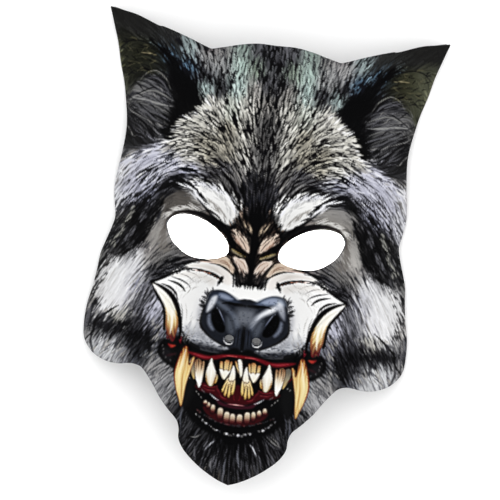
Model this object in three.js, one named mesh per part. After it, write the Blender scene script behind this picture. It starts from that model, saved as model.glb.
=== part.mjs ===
import * as THREE from 'three';

// A wolf half mask: a thin sheet of foam with a printed face, cut to an outline and pressed
// into a muzzle, brows and ears, with an elastic strap glued inside it at the temples.
// It lies face up on its rim. +X is to the viewer's right, +Y to the crown, +Z out of the face.
// Lengths are in millimetres. Inside this file the eye line is y = 0.

// Overall sizes
const FACE_WIDTH = 228;      // cheek to cheek, where the rim is widest
const EAR_SPAN = 241;          // ear tip to ear tip
const EAR_RISE = 155;          // eye line up to the ear tips
const CROWN_RISE = 139.5;      // eye line up to the top of the forehead
const CHIN_DROP = 170;         // eye line down to the chin
const FACE_DEPTH = 62;         // rim to the face at the eye line, between the eyes
const MUZZLE_DEPTH = 31;       // how far the muzzle stands out of the face
const MUZZLE_WIDTH = 96;       // across the muzzle at the mouth
const WALL = 2.6;              // foam and cloth together

// Eyes
const EYE_SPACING = 80.8;      // centre to centre
const EYE_WIDTH = 46;
const EYE_HEIGHT = 29.8;
const EYE_SLANT = 14;          // degrees, outer corners up
const SOCKET_DEPTH = 8;
const BROW_HEIGHT = 6;

// Nose and its holes
const NOSE_WIDTH = 60;
const NOSE_HEIGHT = 36;
const NOSE_DROP = 52;          // eye line down to the middle of the nose
const NOSE_RELIEF = 4;
const NOSTRIL_LENGTH = 19;
const NOSTRIL_WIDTH = 8;
const NOSTRIL_DEPTH = 1.2;
const BREATH_HOLE_WIDTH = 6.4;
const BREATH_HOLE_HEIGHT = 5.2;
const BREATH_HOLE_SPACING = 19;
const BREATH_HOLE_DROP = 67;   // eye line down to the holes

// Mouth, teeth and chin
const MOUTH_WIDTH = 84;
const MOUTH_DROP = 92;         // eye line down to the middle of the mouth
const MOUTH_HEIGHT = 26;
const MOUTH_DEPTH = 6;
const LIP_HEIGHT = 4;
const JOWL_HEIGHT = 4;
const CHIN_HEIGHT = 5;
const FANG_LENGTH = 41;
const FANG_WIDTH = 8.6;
const TUSK_LENGTH = 45;
const TUSK_WIDTH = 9.5;
const CANINE_LENGTH = 19;
const CANINE_WIDTH = 7.5;
const TOOTH_HEIGHT = 3.4;      // how far fangs, tusks and canines stand off the lips

// Forehead, cheeks and ears
const FOREHEAD_HEIGHT = 5;
const FOREHEAD_GROOVE = 3;
const CHEEKBONE_HEIGHT = 6;
const CHEEK_HOLLOW = 4;
const TEMPLE_DENT = 4;
const EAR_BOWL_DEPTH = 8;
const EAR_RIM_HEIGHT = 4;

// Strap and its patches
const STRAP_WIDTH = 20;
const STRAP_THICKNESS = 1.2;
const STRAP_RISE = 38;         // eye line up to the middle of the strap
const STRAP_HUMP = 7;          // how high the slack strap arches off the table
const STRAP_TURN_RADIUS = 8;   // roundness of the strap's turn onto the table
const PATCH_LENGTH = 16;
const PATCH_MARGIN = 6;        // patch past the strap on each side
const PATCH_THICKNESS = 1.4;
const GAP = 0.3;               // between pieces that touch

// Size of the facets, and how far a flat facet may lie inside the curve it spans
const FACET = 5.8;
const FACET_SAG = 0.05 * FACET;

const EYE_X = EYE_SPACING / 2;
const EYE_Y = 0.017 * EYE_HEIGHT;

// A table is a list of rows with named columns.
function table(names, rows) {
  const keys = names.split(' ');
  return rows.map(row => Object.fromEntries(row.map((value, i) => [keys[i], value])));
}

// Outline of the right half of the face, from the crown down to the notch at the ear.
// across is a share of half the EAR_SPAN, up a share of CROWN_RISE.
const CROWN_EDGE = table('across up', [
  [0.000, 1.000],
  [0.110, 1.001],
  [0.210, 0.987],
  [0.300, 0.966],
  [0.378, 0.949],
]);

// The ear's top edge, from the notch out to the tip.
// across is a share of half the EAR_SPAN, up a share of EAR_RISE.
const EAR_TOP_EDGE = table('across up', [
  [0.420, 0.865],
  [0.540, 0.900],
  [0.664, 0.931],
  [0.705, 0.936],
  [0.830, 0.973],
  [0.920, 0.988],
  [1.000, 1.000],
]);

// The ear's outer edge, from the tip down to the temple, in the same shares.
const EAR_SIDE_EDGE = table('across up', [
  [0.980, 0.957],
  [0.957, 0.903],
  [0.930, 0.839],
  [0.902, 0.748],
  [0.870, 0.665],
  [0.847, 0.581],
  [0.830, 0.503],
  [0.826, 0.435],
]);

// Cheek and jaw, from the temple down to the chin.
// across is a share of half the FACE_WIDTH, down a share of CHIN_DROP.
const CHEEK_EDGE = table('across down', [
  [0.884, -0.310],
  [0.899, -0.235],
  [0.906, -0.165],
  [0.892, -0.100],
  [0.881, -0.050],
  [0.897, 0.000],
  [0.925, 0.059],
  [0.947, 0.112],
  [0.956, 0.176],
  [0.971, 0.247],
  [0.994, 0.324],
  [0.999, 0.400],
  [0.989, 0.459],
  [0.949, 0.502],
  [0.896, 0.530],
  [0.821, 0.548],
  [0.750, 0.551],
  [0.706, 0.546],
  [0.650, 0.545],
  [0.598, 0.560],
  [0.530, 0.615],
  [0.477, 0.667],
  [0.415, 0.714],
  [0.357, 0.753],
  [0.337, 0.788],
  [0.334, 0.824],
  [0.313, 0.856],
  [0.274, 0.888],
  [0.212, 0.924],
  [0.150, 0.953],
  [0.071, 0.982],
  [0.000, 1.000],
]);

// Eye hole: shares of half the EYE_WIDTH and half the EYE_HEIGHT from its centre, right eye.
const EYE_EDGE = table('across up', [
  [1.00, 0.54],
  [0.74, 0.90],
  [0.33, 1.00],
  [-0.15, 0.83],
  [-0.58, 0.47],
  [-0.89, 0.02],
  [-1.00, -0.40],
  [-0.92, -0.73],
  [-0.58, -0.93],
  [-0.17, -1.00],
  [0.24, -0.88],
  [0.64, -0.47],
  [0.91, 0.05],
]);

// Cross sections of the pressed sheet through the ears, their tips first. up is a share of
// EAR_RISE, rim of half the EAR_SPAN, spine of FACE_DEPTH, muzzle of MUZZLE_DEPTH and flank of
// half the MUZZLE_WIDTH.
const EAR_SECTIONS = table('up rim spine muzzle flank', [
  [1.030, 1.030, 0.43, 0.00, 0.30],
  [0.900, 0.967, 0.60, 0.00, 0.30],
  [0.775, 0.912, 0.78, 0.00, 0.30],
  [0.610, 0.866, 0.93, 0.00, 0.30],
]);

// The same from the ears down to the eye line, with rim a share of half the FACE_WIDTH.
const TEMPLE_SECTIONS = table('up rim spine muzzle flank', [
  [0.450, 0.891, 1.02, 0.00, 0.30],
  [0.290, 0.902, 1.06, 0.00, 0.30],
  [0.180, 0.907, 1.06, 0.00, 0.31],
  [0.058, 0.892, 1.02, 0.04, 0.34],
]);

// The same below the eye line, with down a share of CHIN_DROP and rim of half the FACE_WIDTH.
const CHEEK_SECTIONS = table('down rim spine muzzle flank', [
  [0.059, 0.930, 1.00, 0.25, 0.42],
  [0.176, 0.961, 0.98, 0.76, 0.65],
  [0.324, 0.996, 0.97, 1.00, 0.90],
  [0.400, 1.002, 0.96, 0.90, 0.98],
  [0.470, 0.996, 0.94, 0.74, 1.00],
  [0.588, 0.955, 0.86, 0.60, 0.95],
  [0.735, 0.870, 0.72, 0.42, 0.82],
  [0.882, 0.780, 0.54, 0.22, 0.67],
  [1.020, 0.690, 0.33, 0.06, 0.52],
]);

const sized = (row, y, span) => ({
  y,
  rim: row.rim * span / 2,
  spine: row.spine * FACE_DEPTH,
  muzzle: row.muzzle * MUZZLE_DEPTH,
  flank: row.flank * MUZZLE_WIDTH / 2,
});

// All sections in millimetres, from the chin up, so that y rises along the list.
const SECTIONS = [
  ...EAR_SECTIONS.map(row => sized(row, row.up * EAR_RISE, EAR_SPAN)),
  ...TEMPLE_SECTIONS.map(row => sized(row, row.up * EAR_RISE, FACE_WIDTH)),
  ...CHEEK_SECTIONS.map(row => sized(row, -row.down * CHIN_DROP, FACE_WIDTH)),
].reverse();

// Value of one column of the sections at height y, on a smooth curve through the rows.
function section(column, y) {
  const last = SECTIONS.length - 1;
  const at = THREE.MathUtils.clamp(y, SECTIONS[0].y, SECTIONS[last].y);
  let i = 0;
  while (i < last - 1 && SECTIONS[i + 1].y < at) i++;
  const slope = k => {
    const a = SECTIONS[Math.max(k - 1, 0)];
    const b = SECTIONS[Math.min(k + 1, last)];
    return (b[column] - a[column]) / (b.y - a.y);
  };
  const step = SECTIONS[i + 1].y - SECTIONS[i].y;
  const t = (at - SECTIONS[i].y) / step;
  const t2 = t * t;
  const t3 = t2 * t;
  return SECTIONS[i][column] * (2 * t3 - 3 * t2 + 1)
    + slope(i) * step * (t3 - 2 * t2 + t)
    + SECTIONS[i + 1][column] * (3 * t2 - 2 * t3)
    + slope(i + 1) * step * (t3 - t2);
}

// Rounded hills and hollows of the sheet, one row each, mirrored to the left side.
// Centre, half sizes and rise in millimetres, turn in degrees. bend lifts the ends, as a share of wide.
const FORM = table('x y wide tall turn bend rise', [
  [EYE_X, EYE_Y, 0.62 * EYE_WIDTH, 0.66 * EYE_HEIGHT, EYE_SLANT, 0, -SOCKET_DEPTH],
  [EYE_X, EYE_Y + 0.95 * EYE_HEIGHT, 0.72 * EYE_WIDTH, 0.36 * EYE_HEIGHT, EYE_SLANT, 0, BROW_HEIGHT],
  [0, -NOSE_DROP, 0.46 * NOSE_WIDTH, 0.50 * NOSE_HEIGHT, 0, 0, NOSE_RELIEF],
  [0.28 * MOUTH_WIDTH, -0.79 * MOUTH_DROP, 0.26 * MOUTH_WIDTH, 0.46 * MOUTH_HEIGHT, 0, 0, JOWL_HEIGHT],
  [0, -MOUTH_DROP, 0.50 * MOUTH_WIDTH, 0.46 * MOUTH_HEIGHT, 0, 0, -MOUTH_DEPTH],
  [0, -1.24 * MOUTH_DROP, 0.44 * MOUTH_WIDTH, 0.28 * MOUTH_HEIGHT, 0, 0.37, LIP_HEIGHT],
  [0, -0.84 * CHIN_DROP, 0.24 * FACE_WIDTH / 2, 0.10 * CHIN_DROP, 0, 0, CHIN_HEIGHT],
  [0.25 * FACE_WIDTH / 2, 0.48 * CROWN_RISE, 0.30 * FACE_WIDTH / 2, 0.22 * CROWN_RISE, 0, 0,
    FOREHEAD_HEIGHT],
  [0, 0.52 * CROWN_RISE, 0.08 * FACE_WIDTH / 2, 0.34 * CROWN_RISE, 0, 0, -FOREHEAD_GROOVE],
  [0.64 * FACE_WIDTH / 2, -0.19 * CHIN_DROP, 0.22 * FACE_WIDTH / 2, 0.12 * CHIN_DROP, 0, 0,
    CHEEKBONE_HEIGHT],
  [0.67 * FACE_WIDTH / 2, -0.47 * CHIN_DROP, 0.19 * FACE_WIDTH / 2, 0.10 * CHIN_DROP, 0, 0,
    -CHEEK_HOLLOW],
  [0.72 * FACE_WIDTH / 2, 0.06 * CHIN_DROP, 0.13 * FACE_WIDTH / 2, 0.09 * CHIN_DROP, 0, 0, -TEMPLE_DENT],
  [0.69 * EAR_SPAN / 2, 0.73 * EAR_RISE, 0.20 * EAR_SPAN / 2, 0.15 * EAR_RISE, 0, 0, -EAR_BOWL_DEPTH],
  [0.70 * EAR_SPAN / 2, 0.90 * EAR_RISE, 0.28 * EAR_SPAN / 2, 0.055 * EAR_RISE, 18, 0, EAR_RIM_HEIGHT],
]);

function hill(row, x, y) {
  const turn = THREE.MathUtils.degToRad(row.turn);
  const dx = x - row.x;
  const dy = y - row.y - row.bend * dx * dx / row.wide;
  const along = (dx * Math.cos(turn) + dy * Math.sin(turn)) / row.wide;
  const across = (dy * Math.cos(turn) - dx * Math.sin(turn)) / row.tall;
  return row.rise * Math.exp(-(along * along + across * across));
}

// Share of the spine's depth that is left at a share s of the way out to the rim.
const CROWN_ROUND = 0.55;
const RIM_TURN = 0.45;

// Height of the sheet without its teeth: the dome, the muzzle and the hills.
function form(x, y) {
  const side = Math.abs(x);
  const s = side / section('rim', y);
  const dome = section('spine', y) * (1 - CROWN_ROUND * s ** 2 - RIM_TURN * s ** 6);
  const muzzle = section('muzzle', y) * Math.exp(-((side / section('flank', y)) ** 4));
  let hills = 0;
  for (const row of FORM) hills += hill(row, side, y) + (row.x > 0 ? hill(row, -side, y) : 0);
  return dome + muzzle + hills;
}

// Teeth as curved horns: root, a point that the middle bends towards, and tip, right side.
const TUSK = {
  width: TUSK_WIDTH,
  curve: new THREE.QuadraticBezierCurve(
    new THREE.Vector2(0.555 * MOUTH_WIDTH, -0.84 * MOUTH_DROP),
    new THREE.Vector2(0.585 * MOUTH_WIDTH, -0.84 * MOUTH_DROP + 0.56 * TUSK_LENGTH),
    new THREE.Vector2(0.80 * MOUTH_WIDTH, -0.84 * MOUTH_DROP + 0.86 * TUSK_LENGTH),
  ),
};
const FANG = {
  width: FANG_WIDTH,
  curve: new THREE.QuadraticBezierCurve(
    new THREE.Vector2(0.485 * MOUTH_WIDTH, -0.84 * MOUTH_DROP),
    new THREE.Vector2(0.555 * MOUTH_WIDTH, -0.84 * MOUTH_DROP - 0.5 * FANG_LENGTH),
    new THREE.Vector2(0.475 * MOUTH_WIDTH, -0.84 * MOUTH_DROP - FANG_LENGTH),
  ),
};
const CANINE = {
  width: CANINE_WIDTH,
  curve: new THREE.QuadraticBezierCurve(
    new THREE.Vector2(0.232 * MOUTH_WIDTH, -0.90 * MOUTH_DROP),
    new THREE.Vector2(0.240 * MOUTH_WIDTH, -0.90 * MOUTH_DROP - 0.5 * CANINE_LENGTH),
    new THREE.Vector2(0.225 * MOUTH_WIDTH, -0.90 * MOUTH_DROP - CANINE_LENGTH),
  ),
};
const HORNS = [TUSK, FANG, CANINE];
const HORN_STEPS = 7;
for (const horn of HORNS) {
  horn.points = horn.curve.getPoints(HORN_STEPS);
}

// Half width of a horn at a share t of its length: full at the root, a point at the tip.
function hornHalfWidth(horn, t) {
  return horn.width / 2 * Math.sqrt(Math.max(1 - t ** 2.4, 0)) * (0.82 + 0.5 * t * (1 - t));
}

function hornRise(horn, x, y) {
  const point = new THREE.Vector2(x, y);
  let best = Infinity;
  let along = 0;
  for (let i = 0; i < HORN_STEPS; i++) {
    const a = horn.points[i];
    const b = horn.points[i + 1];
    const edge = b.clone().sub(a);
    const t = THREE.MathUtils.clamp(point.clone().sub(a).dot(edge) / edge.lengthSq(), 0, 1);
    const distance = a.clone().addScaledVector(edge, t).distanceTo(point);
    if (distance < best) {
      best = distance;
      along = (i + t) / HORN_STEPS;
    }
  }
  const half = hornHalfWidth(horn, along);
  if (best >= half) return 0;
  return TOOTH_HEIGHT * Math.sqrt(1 - (best / half) ** 2) * Math.min(1, 2 * half / horn.width + 0.2);
}

// Nostril slits lean in towards the bottom of the nose.
const NOSTRIL = {
  x: 0.325 * NOSE_WIDTH,
  y: -NOSE_DROP - 0.08 * NOSE_HEIGHT,
  wide: NOSTRIL_WIDTH / 2,
  tall: NOSTRIL_LENGTH / 2,
  turn: -24,
  bend: 0,
  rise: -NOSTRIL_DEPTH,
};

// Height of the printed face, teeth and nostrils included.
function face(x, y) {
  const side = Math.abs(x);
  let relief = hill(NOSTRIL, side, y);
  for (const horn of HORNS) relief = Math.max(relief, hornRise(horn, side, y));
  return form(x, y) + relief;
}

// Direction out of the sheet, measured over a third of a facet to each side.
const SLOPE_STEP = 0.35 * FACET;
function outward(x, y) {
  const dx = (form(x + SLOPE_STEP, y) - form(x - SLOPE_STEP, y)) / (2 * SLOPE_STEP);
  const dy = (form(x, y + SLOPE_STEP) - form(x, y - SLOPE_STEP)) / (2 * SLOPE_STEP);
  return new THREE.Vector3(-dx, -dy, 1).normalize();
}

// Point of the bare foam on the inside of the sheet, behind the point (x, y) of its face.
function inside(x, y) {
  return new THREE.Vector3(x, y, form(x, y)).addScaledVector(outward(x, y), -WALL);
}

// Points about EDGE_FACET apart on a smooth curve through the rows.
const EDGE_FACET = 0.9 * FACET;
function traced(rows, closed = false) {
  const knots = rows.map(([x, y]) => new THREE.Vector3(x, y, 0));
  const curve = new THREE.CatmullRomCurve3(knots, closed, 'centripetal');
  const count = Math.max(Math.round(curve.getLength() / EDGE_FACET), 2);
  return curve.getSpacedPoints(count).slice(0, -1).map(p => [p.x, p.y]);
}

const crownRows = CROWN_EDGE.map(row => [row.across * EAR_SPAN / 2, row.up * CROWN_RISE]);
const earTopRows = EAR_TOP_EDGE.map(row => [row.across * EAR_SPAN / 2, row.up * EAR_RISE]);
const earSideRows = EAR_SIDE_EDGE.map(row => [row.across * EAR_SPAN / 2, row.up * EAR_RISE]);
const cheekRows = CHEEK_EDGE.map(row => [row.across * FACE_WIDTH / 2, -row.down * CHIN_DROP]);
const notch = crownRows[crownRows.length - 1];
const tip = earTopRows[earTopRows.length - 1];
const chin = cheekRows[cheekRows.length - 1];

const rightOutline = [
  ...traced(crownRows),
  ...traced([notch, ...earTopRows]),
  ...traced([tip, ...earSideRows, ...cheekRows]),
  chin,
];
const leftOutline = rightOutline.slice(1, -1).reverse().map(([x, y]) => [-x, y]);
const outline = [...rightOutline, ...leftOutline];

const rightEye = traced(
  EYE_EDGE.map(row => [EYE_X + row.across * EYE_WIDTH / 2, EYE_Y + row.up * EYE_HEIGHT / 2]),
  true,
);

const BREATH_HOLE_SIDES = 10;
const rightBreathHole = [];
for (let i = 0; i < BREATH_HOLE_SIDES; i++) {
  const turn = 2 * Math.PI * i / BREATH_HOLE_SIDES;
  rightBreathHole.push([
    BREATH_HOLE_SPACING / 2 + BREATH_HOLE_WIDTH / 2 * Math.cos(turn),
    -BREATH_HOLE_DROP + BREATH_HOLE_HEIGHT / 2 * Math.sin(turn),
  ]);
}

const mirrored = loop => loop.map(([x, y]) => [-x, y]);
const holes = [rightEye, mirrored(rightEye), rightBreathHole, mirrored(rightBreathHole)];

function isWithin(loop, x, y) {
  let within = false;
  for (let i = 0, j = loop.length - 1; i < loop.length; j = i++) {
    const [ax, ay] = loop[i];
    const [bx, by] = loop[j];
    if ((ay > y) !== (by > y) && x < (bx - ax) * (y - ay) / (by - ay) + ax) within = !within;
  }
  return within;
}

const isOnSheet = (x, y) => isWithin(outline, x, y) && !holes.some(loop => isWithin(loop, x, y));

// Points of the sheet: its edges first, then the teeth and nostrils, then an even field.
const points = [outline, ...holes].flat();

function addPoint(x, y, clearance) {
  if (!isOnSheet(x, y)) return;
  const near = points.some(([px, py]) => (px - x) ** 2 + (py - y) ** 2 < clearance ** 2);
  if (!near) points.push([x, y]);
}

const DETAIL_CLEARANCE = 0.30 * FACET;
const FIELD_CLEARANCE = 0.62 * FACET;

for (const horn of HORNS) {
  for (let i = 0; i <= HORN_STEPS; i++) {
    const t = i / HORN_STEPS;
    const at = horn.curve.getPoint(t);
    const across = horn.curve.getTangent(t).rotateAround(new THREE.Vector2(), Math.PI / 2);
    for (const share of [0, 1, -1]) {
      const half = share * hornHalfWidth(horn, t);
      for (const side of [1, -1]) {
        addPoint(side * (at.x + across.x * half), at.y + across.y * half, DETAIL_CLEARANCE);
      }
    }
  }
}

const NOSTRIL_RING = 8;
const nostrilTurn = THREE.MathUtils.degToRad(NOSTRIL.turn);
for (const share of [0, 0.45, 1]) {
  for (let i = 0; i < NOSTRIL_RING; i++) {
    const spin = 2 * Math.PI * i / NOSTRIL_RING;
    const u = share * NOSTRIL.wide * Math.cos(spin);
    const v = share * NOSTRIL.tall * Math.sin(spin);
    const x = NOSTRIL.x + u * Math.cos(nostrilTurn) - v * Math.sin(nostrilTurn);
    const y = NOSTRIL.y + u * Math.sin(nostrilTurn) + v * Math.cos(nostrilTurn);
    for (const side of [1, -1]) addPoint(side * x, y, DETAIL_CLEARANCE);
  }
}

// The field is in staggered rows. Its columns close up towards the rim, where the sheet is steep.
const FIELD_HALF = 1.03 * Math.max(EAR_SPAN, FACE_WIDTH) / 2;
const SIDE_CROWDING = 0.2;
const columns = Math.ceil(FIELD_HALF * (1 + SIDE_CROWDING) / FACET);
const ROW_STEP = 0.88 * FACET;
const rows = Math.ceil((EAR_RISE + CHIN_DROP) / ROW_STEP);
for (let j = 0; j <= rows; j++) {
  const y = -CHIN_DROP + j * ROW_STEP;
  for (let i = 0; i <= columns; i++) {
    const share = (i + (j % 2) / 2) / columns;
    const x = FIELD_HALF * ((1 + SIDE_CROWDING) * share - SIDE_CROWDING * share ** 3);
    const clearance = FIELD_CLEARANCE * (1 + SIDE_CROWDING - 3 * SIDE_CROWDING * share ** 2);
    for (const side of x > 0 ? [1, -1] : [1]) addPoint(side * x, y, clearance);
  }
}

// Delaunay triangles of the points, each with its circle.
const FAR = 1e4;
function triangulate(nodes) {
  const corners = [...nodes, [-FAR, -FAR], [FAR, -FAR], [0, FAR]];
  const count = nodes.length;
  const withCircle = (a, b, c) => {
    const [ax, ay] = corners[a];
    const [bx, by] = [corners[b][0] - ax, corners[b][1] - ay];
    const [cx, cy] = [corners[c][0] - ax, corners[c][1] - ay];
    const twiceArea = 2 * (bx * cy - by * cx);
    const x = (cy * (bx * bx + by * by) - by * (cx * cx + cy * cy)) / twiceArea;
    const y = (bx * (cx * cx + cy * cy) - cx * (bx * bx + by * by)) / twiceArea;
    return { a, b, c, x: x + ax, y: y + ay, r2: x * x + y * y };
  };
  let triangles = [withCircle(count, count + 1, count + 2)];
  for (let i = 0; i < count; i++) {
    const [x, y] = corners[i];
    const kept = [];
    const rim = new Map();
    for (const t of triangles) {
      if ((x - t.x) ** 2 + (y - t.y) ** 2 >= t.r2) {
        kept.push(t);
        continue;
      }
      for (const [p, q] of [[t.a, t.b], [t.b, t.c], [t.c, t.a]]) {
        if (!rim.delete(`${q} ${p}`)) rim.set(`${p} ${q}`, [p, q]);
      }
    }
    for (const [p, q] of rim.values()) kept.push(withCircle(p, q, i));
    triangles = kept;
  }
  return triangles.filter(t => t.a < count && t.b < count && t.c < count);
}

// The shell: the face, the foam side behind it, and the cut edge between them.
function shellGeometry() {
  const cells = triangulate(points).filter(({ a, b, c }) => isOnSheet(
    (points[a][0] + points[b][0] + points[c][0]) / 3,
    (points[a][1] + points[b][1] + points[c][1]) / 3,
  ));
  const count = points.length;
  const positions = [
    ...points.flatMap(([x, y]) => [x, y, face(x, y)]),
    ...points.flatMap(([x, y]) => inside(x, y).toArray()),
  ];
  const index = [];
  const open = new Map();
  for (const { a, b, c } of cells) {
    index.push(a, b, c, count + a, count + c, count + b);
    for (const [p, q] of [[a, b], [b, c], [c, a]]) {
      if (!open.delete(`${q} ${p}`)) open.set(`${p} ${q}`, [p, q]);
    }
  }
  for (const [p, q] of open.values()) {
    index.push(q, p, count + p, q, count + p, count + q);
  }
  const geometry = new THREE.BufferGeometry();
  geometry.setAttribute('position', new THREE.Float32BufferAttribute(positions, 3));
  geometry.setIndex(index);
  return geometry;
}

const shell = shellGeometry();
shell.computeBoundingBox();
const lowest = shell.boundingBox.min.z;
const middle = shell.boundingBox.getCenter(new THREE.Vector3());

// The strap's route in the plane y = STRAP_RISE: down the inside of the temple, round onto
// the table and across to the other side in a low arch.
const STRAP_START = 0.79;      // share of the way out to the rim where the strap ends
const STRAP_LEAVE = 0.925;     // where it leaves the wall
const STRAP_STEPS = 8;
const ARCH_STEPS = 14;
const SHARE_STEP = 0.002;
const rimAtStrap = section('rim', STRAP_RISE);

// The inside of the wall under the strap, where it comes closest over the strap's width.
function wallUnderStrap(share, halfWidth) {
  const middle = inside(share * rimAtStrap, STRAP_RISE);
  const out = outward(share * rimAtStrap, STRAP_RISE).setY(0).normalize();
  let closest = 0;
  for (const side of [-1, -0.5, 0.5, 1]) {
    const point = inside(share * rimAtStrap, STRAP_RISE + side * halfWidth);
    closest = Math.min(closest, point.sub(middle).setY(0).dot(out));
  }
  return { point: middle.addScaledVector(out, closest), out };
}

function strapRoute() {
  const wallPart = [];
  for (let i = 0; i <= STRAP_STEPS; i++) {
    const share = THREE.MathUtils.lerp(STRAP_START, STRAP_LEAVE, i / STRAP_STEPS);
    const { point, out } = wallUnderStrap(share, STRAP_WIDTH / 2);
    point.addScaledVector(out, -(2 * GAP + STRAP_THICKNESS / 2));
    wallPart.push(new THREE.Vector2(point.x, point.z));
  }
  const leave = wallPart[STRAP_STEPS];
  const down = leave.clone().sub(wallPart[STRAP_STEPS - 1]).normalize();
  const onTable = new THREE.Vector2(leave.x - 1.1 * STRAP_TURN_RADIUS, lowest + GAP + STRAP_THICKNESS / 2);
  const turn = new THREE.CubicBezierCurve(
    leave,
    leave.clone().addScaledVector(down, 0.9 * STRAP_TURN_RADIUS),
    onTable.clone().add(new THREE.Vector2(STRAP_TURN_RADIUS, 0)),
    onTable,
  );
  const arch = [];
  for (let i = 1; i <= ARCH_STEPS; i++) {
    const x = onTable.x * (1 - i / ARCH_STEPS);
    const lift = STRAP_HUMP * Math.cos(Math.PI / 2 * x / onTable.x) ** 2;
    arch.push(new THREE.Vector2(x, onTable.y + lift));
  }
  const half = [...wallPart, ...turn.getPoints(STRAP_STEPS).slice(1), ...arch];
  const other = half.slice(0, -1).reverse().map(p => new THREE.Vector2(-p.x, p.y));
  return [...half, ...other];
}

// A band of even thickness along the route, extruded over the strap's width.
function strapGeometry() {
  const route = strapRoute();
  const last = route.length - 1;
  const edge = side => route.map((point, i) => {
    const before = route[Math.max(i - 1, 0)];
    const after = route[Math.min(i + 1, last)];
    const along = after.clone().sub(before).normalize();
    const across = new THREE.Vector2(-along.y, along.x).multiplyScalar(side * STRAP_THICKNESS / 2);
    return point.clone().add(across);
  });
  const band = new THREE.Shape([...edge(1), ...edge(-1).reverse()]);
  const geometry = new THREE.ExtrudeGeometry(band, { depth: STRAP_WIDTH, bevelEnabled: false });
  geometry.rotateX(Math.PI / 2);
  geometry.translate(0, STRAP_RISE + STRAP_WIDTH / 2, 0);
  return geometry;
}

// A flat patch over the strap's end, with a foot on each side glued to the wall. Right side.
function patchGeometry() {
  const halfWidth = STRAP_WIDTH / 2 + PATCH_MARGIN;
  const start = inside(STRAP_START * rimAtStrap, STRAP_RISE);
  let share = STRAP_START;
  let end = start;
  while (end.distanceTo(start) < PATCH_LENGTH) {
    share += SHARE_STEP;
    end = inside(share * rimAtStrap, STRAP_RISE);
  }
  const along = end.sub(start).setY(0).normalize();
  const out = new THREE.Vector3(-along.z, 0, along.x);
  let seatDepth = 0;
  for (let at = 2 * STRAP_START - share; at < 2 * share - STRAP_START; at += SHARE_STEP) {
    for (const side of [-1, -0.5, 0, 0.5, 1]) {
      const point = inside(at * rimAtStrap, STRAP_RISE + side * halfWidth).sub(start).setY(0);
      const isBeside = point.dot(along) > -GAP && point.dot(along) < PATCH_LENGTH + GAP;
      if (isBeside) seatDepth = Math.min(seatDepth, point.dot(out));
    }
  }
  const strapRoom = STRAP_WIDTH / 2 + GAP;
  const clear = 4 * GAP + STRAP_THICKNESS;
  const profile = new THREE.Shape([
    new THREE.Vector2(-halfWidth, 0),
    new THREE.Vector2(-halfWidth, -clear - PATCH_THICKNESS),
    new THREE.Vector2(halfWidth, -clear - PATCH_THICKNESS),
    new THREE.Vector2(halfWidth, 0),
    new THREE.Vector2(strapRoom, 0),
    new THREE.Vector2(strapRoom, -clear),
    new THREE.Vector2(-strapRoom, -clear),
    new THREE.Vector2(-strapRoom, 0),
  ]);
  const geometry = new THREE.ExtrudeGeometry(profile, { depth: PATCH_LENGTH, bevelEnabled: false });
  const basis = new THREE.Matrix4().makeBasis(new THREE.Vector3(0, 1, 0), out, along);
  const seat = start.clone().addScaledVector(out, seatDepth - GAP - FACET_SAG).setY(STRAP_RISE);
  return geometry.applyMatrix4(basis.setPosition(seat));
}

const foamMaterial = new THREE.MeshStandardMaterial({
  name: 'printed_foam', color: 0x77767a, roughness: 0.75, metalness: 0,
});
const elasticMaterial = new THREE.MeshStandardMaterial({
  name: 'elastic', color: 0x141416, roughness: 0.85, metalness: 0,
});
const patchMaterial = new THREE.MeshStandardMaterial({
  name: 'patch', color: 0x1c1c1e, roughness: 0.8, metalness: 0,
});

function piece(name, geometry, material) {
  const mesh = new THREE.Mesh(geometry, material);
  mesh.name = name;
  return mesh;
}

// The left patch is the right one turned half round in the middle of the strap.
const leftPatch = piece('strap_patch_left', patchGeometry(), patchMaterial);
leftPatch.rotation.z = Math.PI;
leftPatch.position.y = 2 * STRAP_RISE;

// The mask lies on z = 0, with the middle of its length at y = 0.
const mask = new THREE.Group();
mask.add(
  piece('mask_shell', shell, foamMaterial),
  piece('elastic_strap', strapGeometry(), elasticMaterial),
  piece('strap_patch_right', patchGeometry(), patchMaterial),
  leftPatch,
);
mask.position.set(0, -middle.y, -lowest);

export default mask;
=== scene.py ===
"""Looks of a printed wolf half mask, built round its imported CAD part.

The mask lies face up. Lengths in the tables are in millimetres with the eye line at y = 0,
as in the part's own drawing, and become metres when a mesh is made.
"""

import bpy
import numpy as np
from mathutils import Matrix, Vector


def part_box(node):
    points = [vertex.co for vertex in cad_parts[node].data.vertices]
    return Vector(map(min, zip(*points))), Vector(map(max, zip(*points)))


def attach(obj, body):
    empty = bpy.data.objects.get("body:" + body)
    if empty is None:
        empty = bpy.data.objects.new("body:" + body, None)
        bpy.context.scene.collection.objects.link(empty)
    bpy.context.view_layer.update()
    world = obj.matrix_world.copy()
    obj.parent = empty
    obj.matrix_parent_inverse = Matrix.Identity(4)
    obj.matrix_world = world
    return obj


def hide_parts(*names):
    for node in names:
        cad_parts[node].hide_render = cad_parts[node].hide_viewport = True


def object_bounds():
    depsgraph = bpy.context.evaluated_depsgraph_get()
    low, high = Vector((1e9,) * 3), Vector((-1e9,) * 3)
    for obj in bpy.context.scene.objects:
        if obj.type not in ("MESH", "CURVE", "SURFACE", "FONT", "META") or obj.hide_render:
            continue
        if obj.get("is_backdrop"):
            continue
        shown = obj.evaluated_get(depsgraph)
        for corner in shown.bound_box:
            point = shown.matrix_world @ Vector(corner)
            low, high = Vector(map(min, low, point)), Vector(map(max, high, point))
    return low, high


bl_info = {
    "name": "Wolf half mask",
    "version": (1, 0, 0),
    "blender": (4, 5, 0),
    "location": "3D View > Sidebar > Wolf mask",
    "description": "Builds a printed foam wolf half mask with its strap, and a stage to show it on",
    "category": "Object",
}

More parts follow.
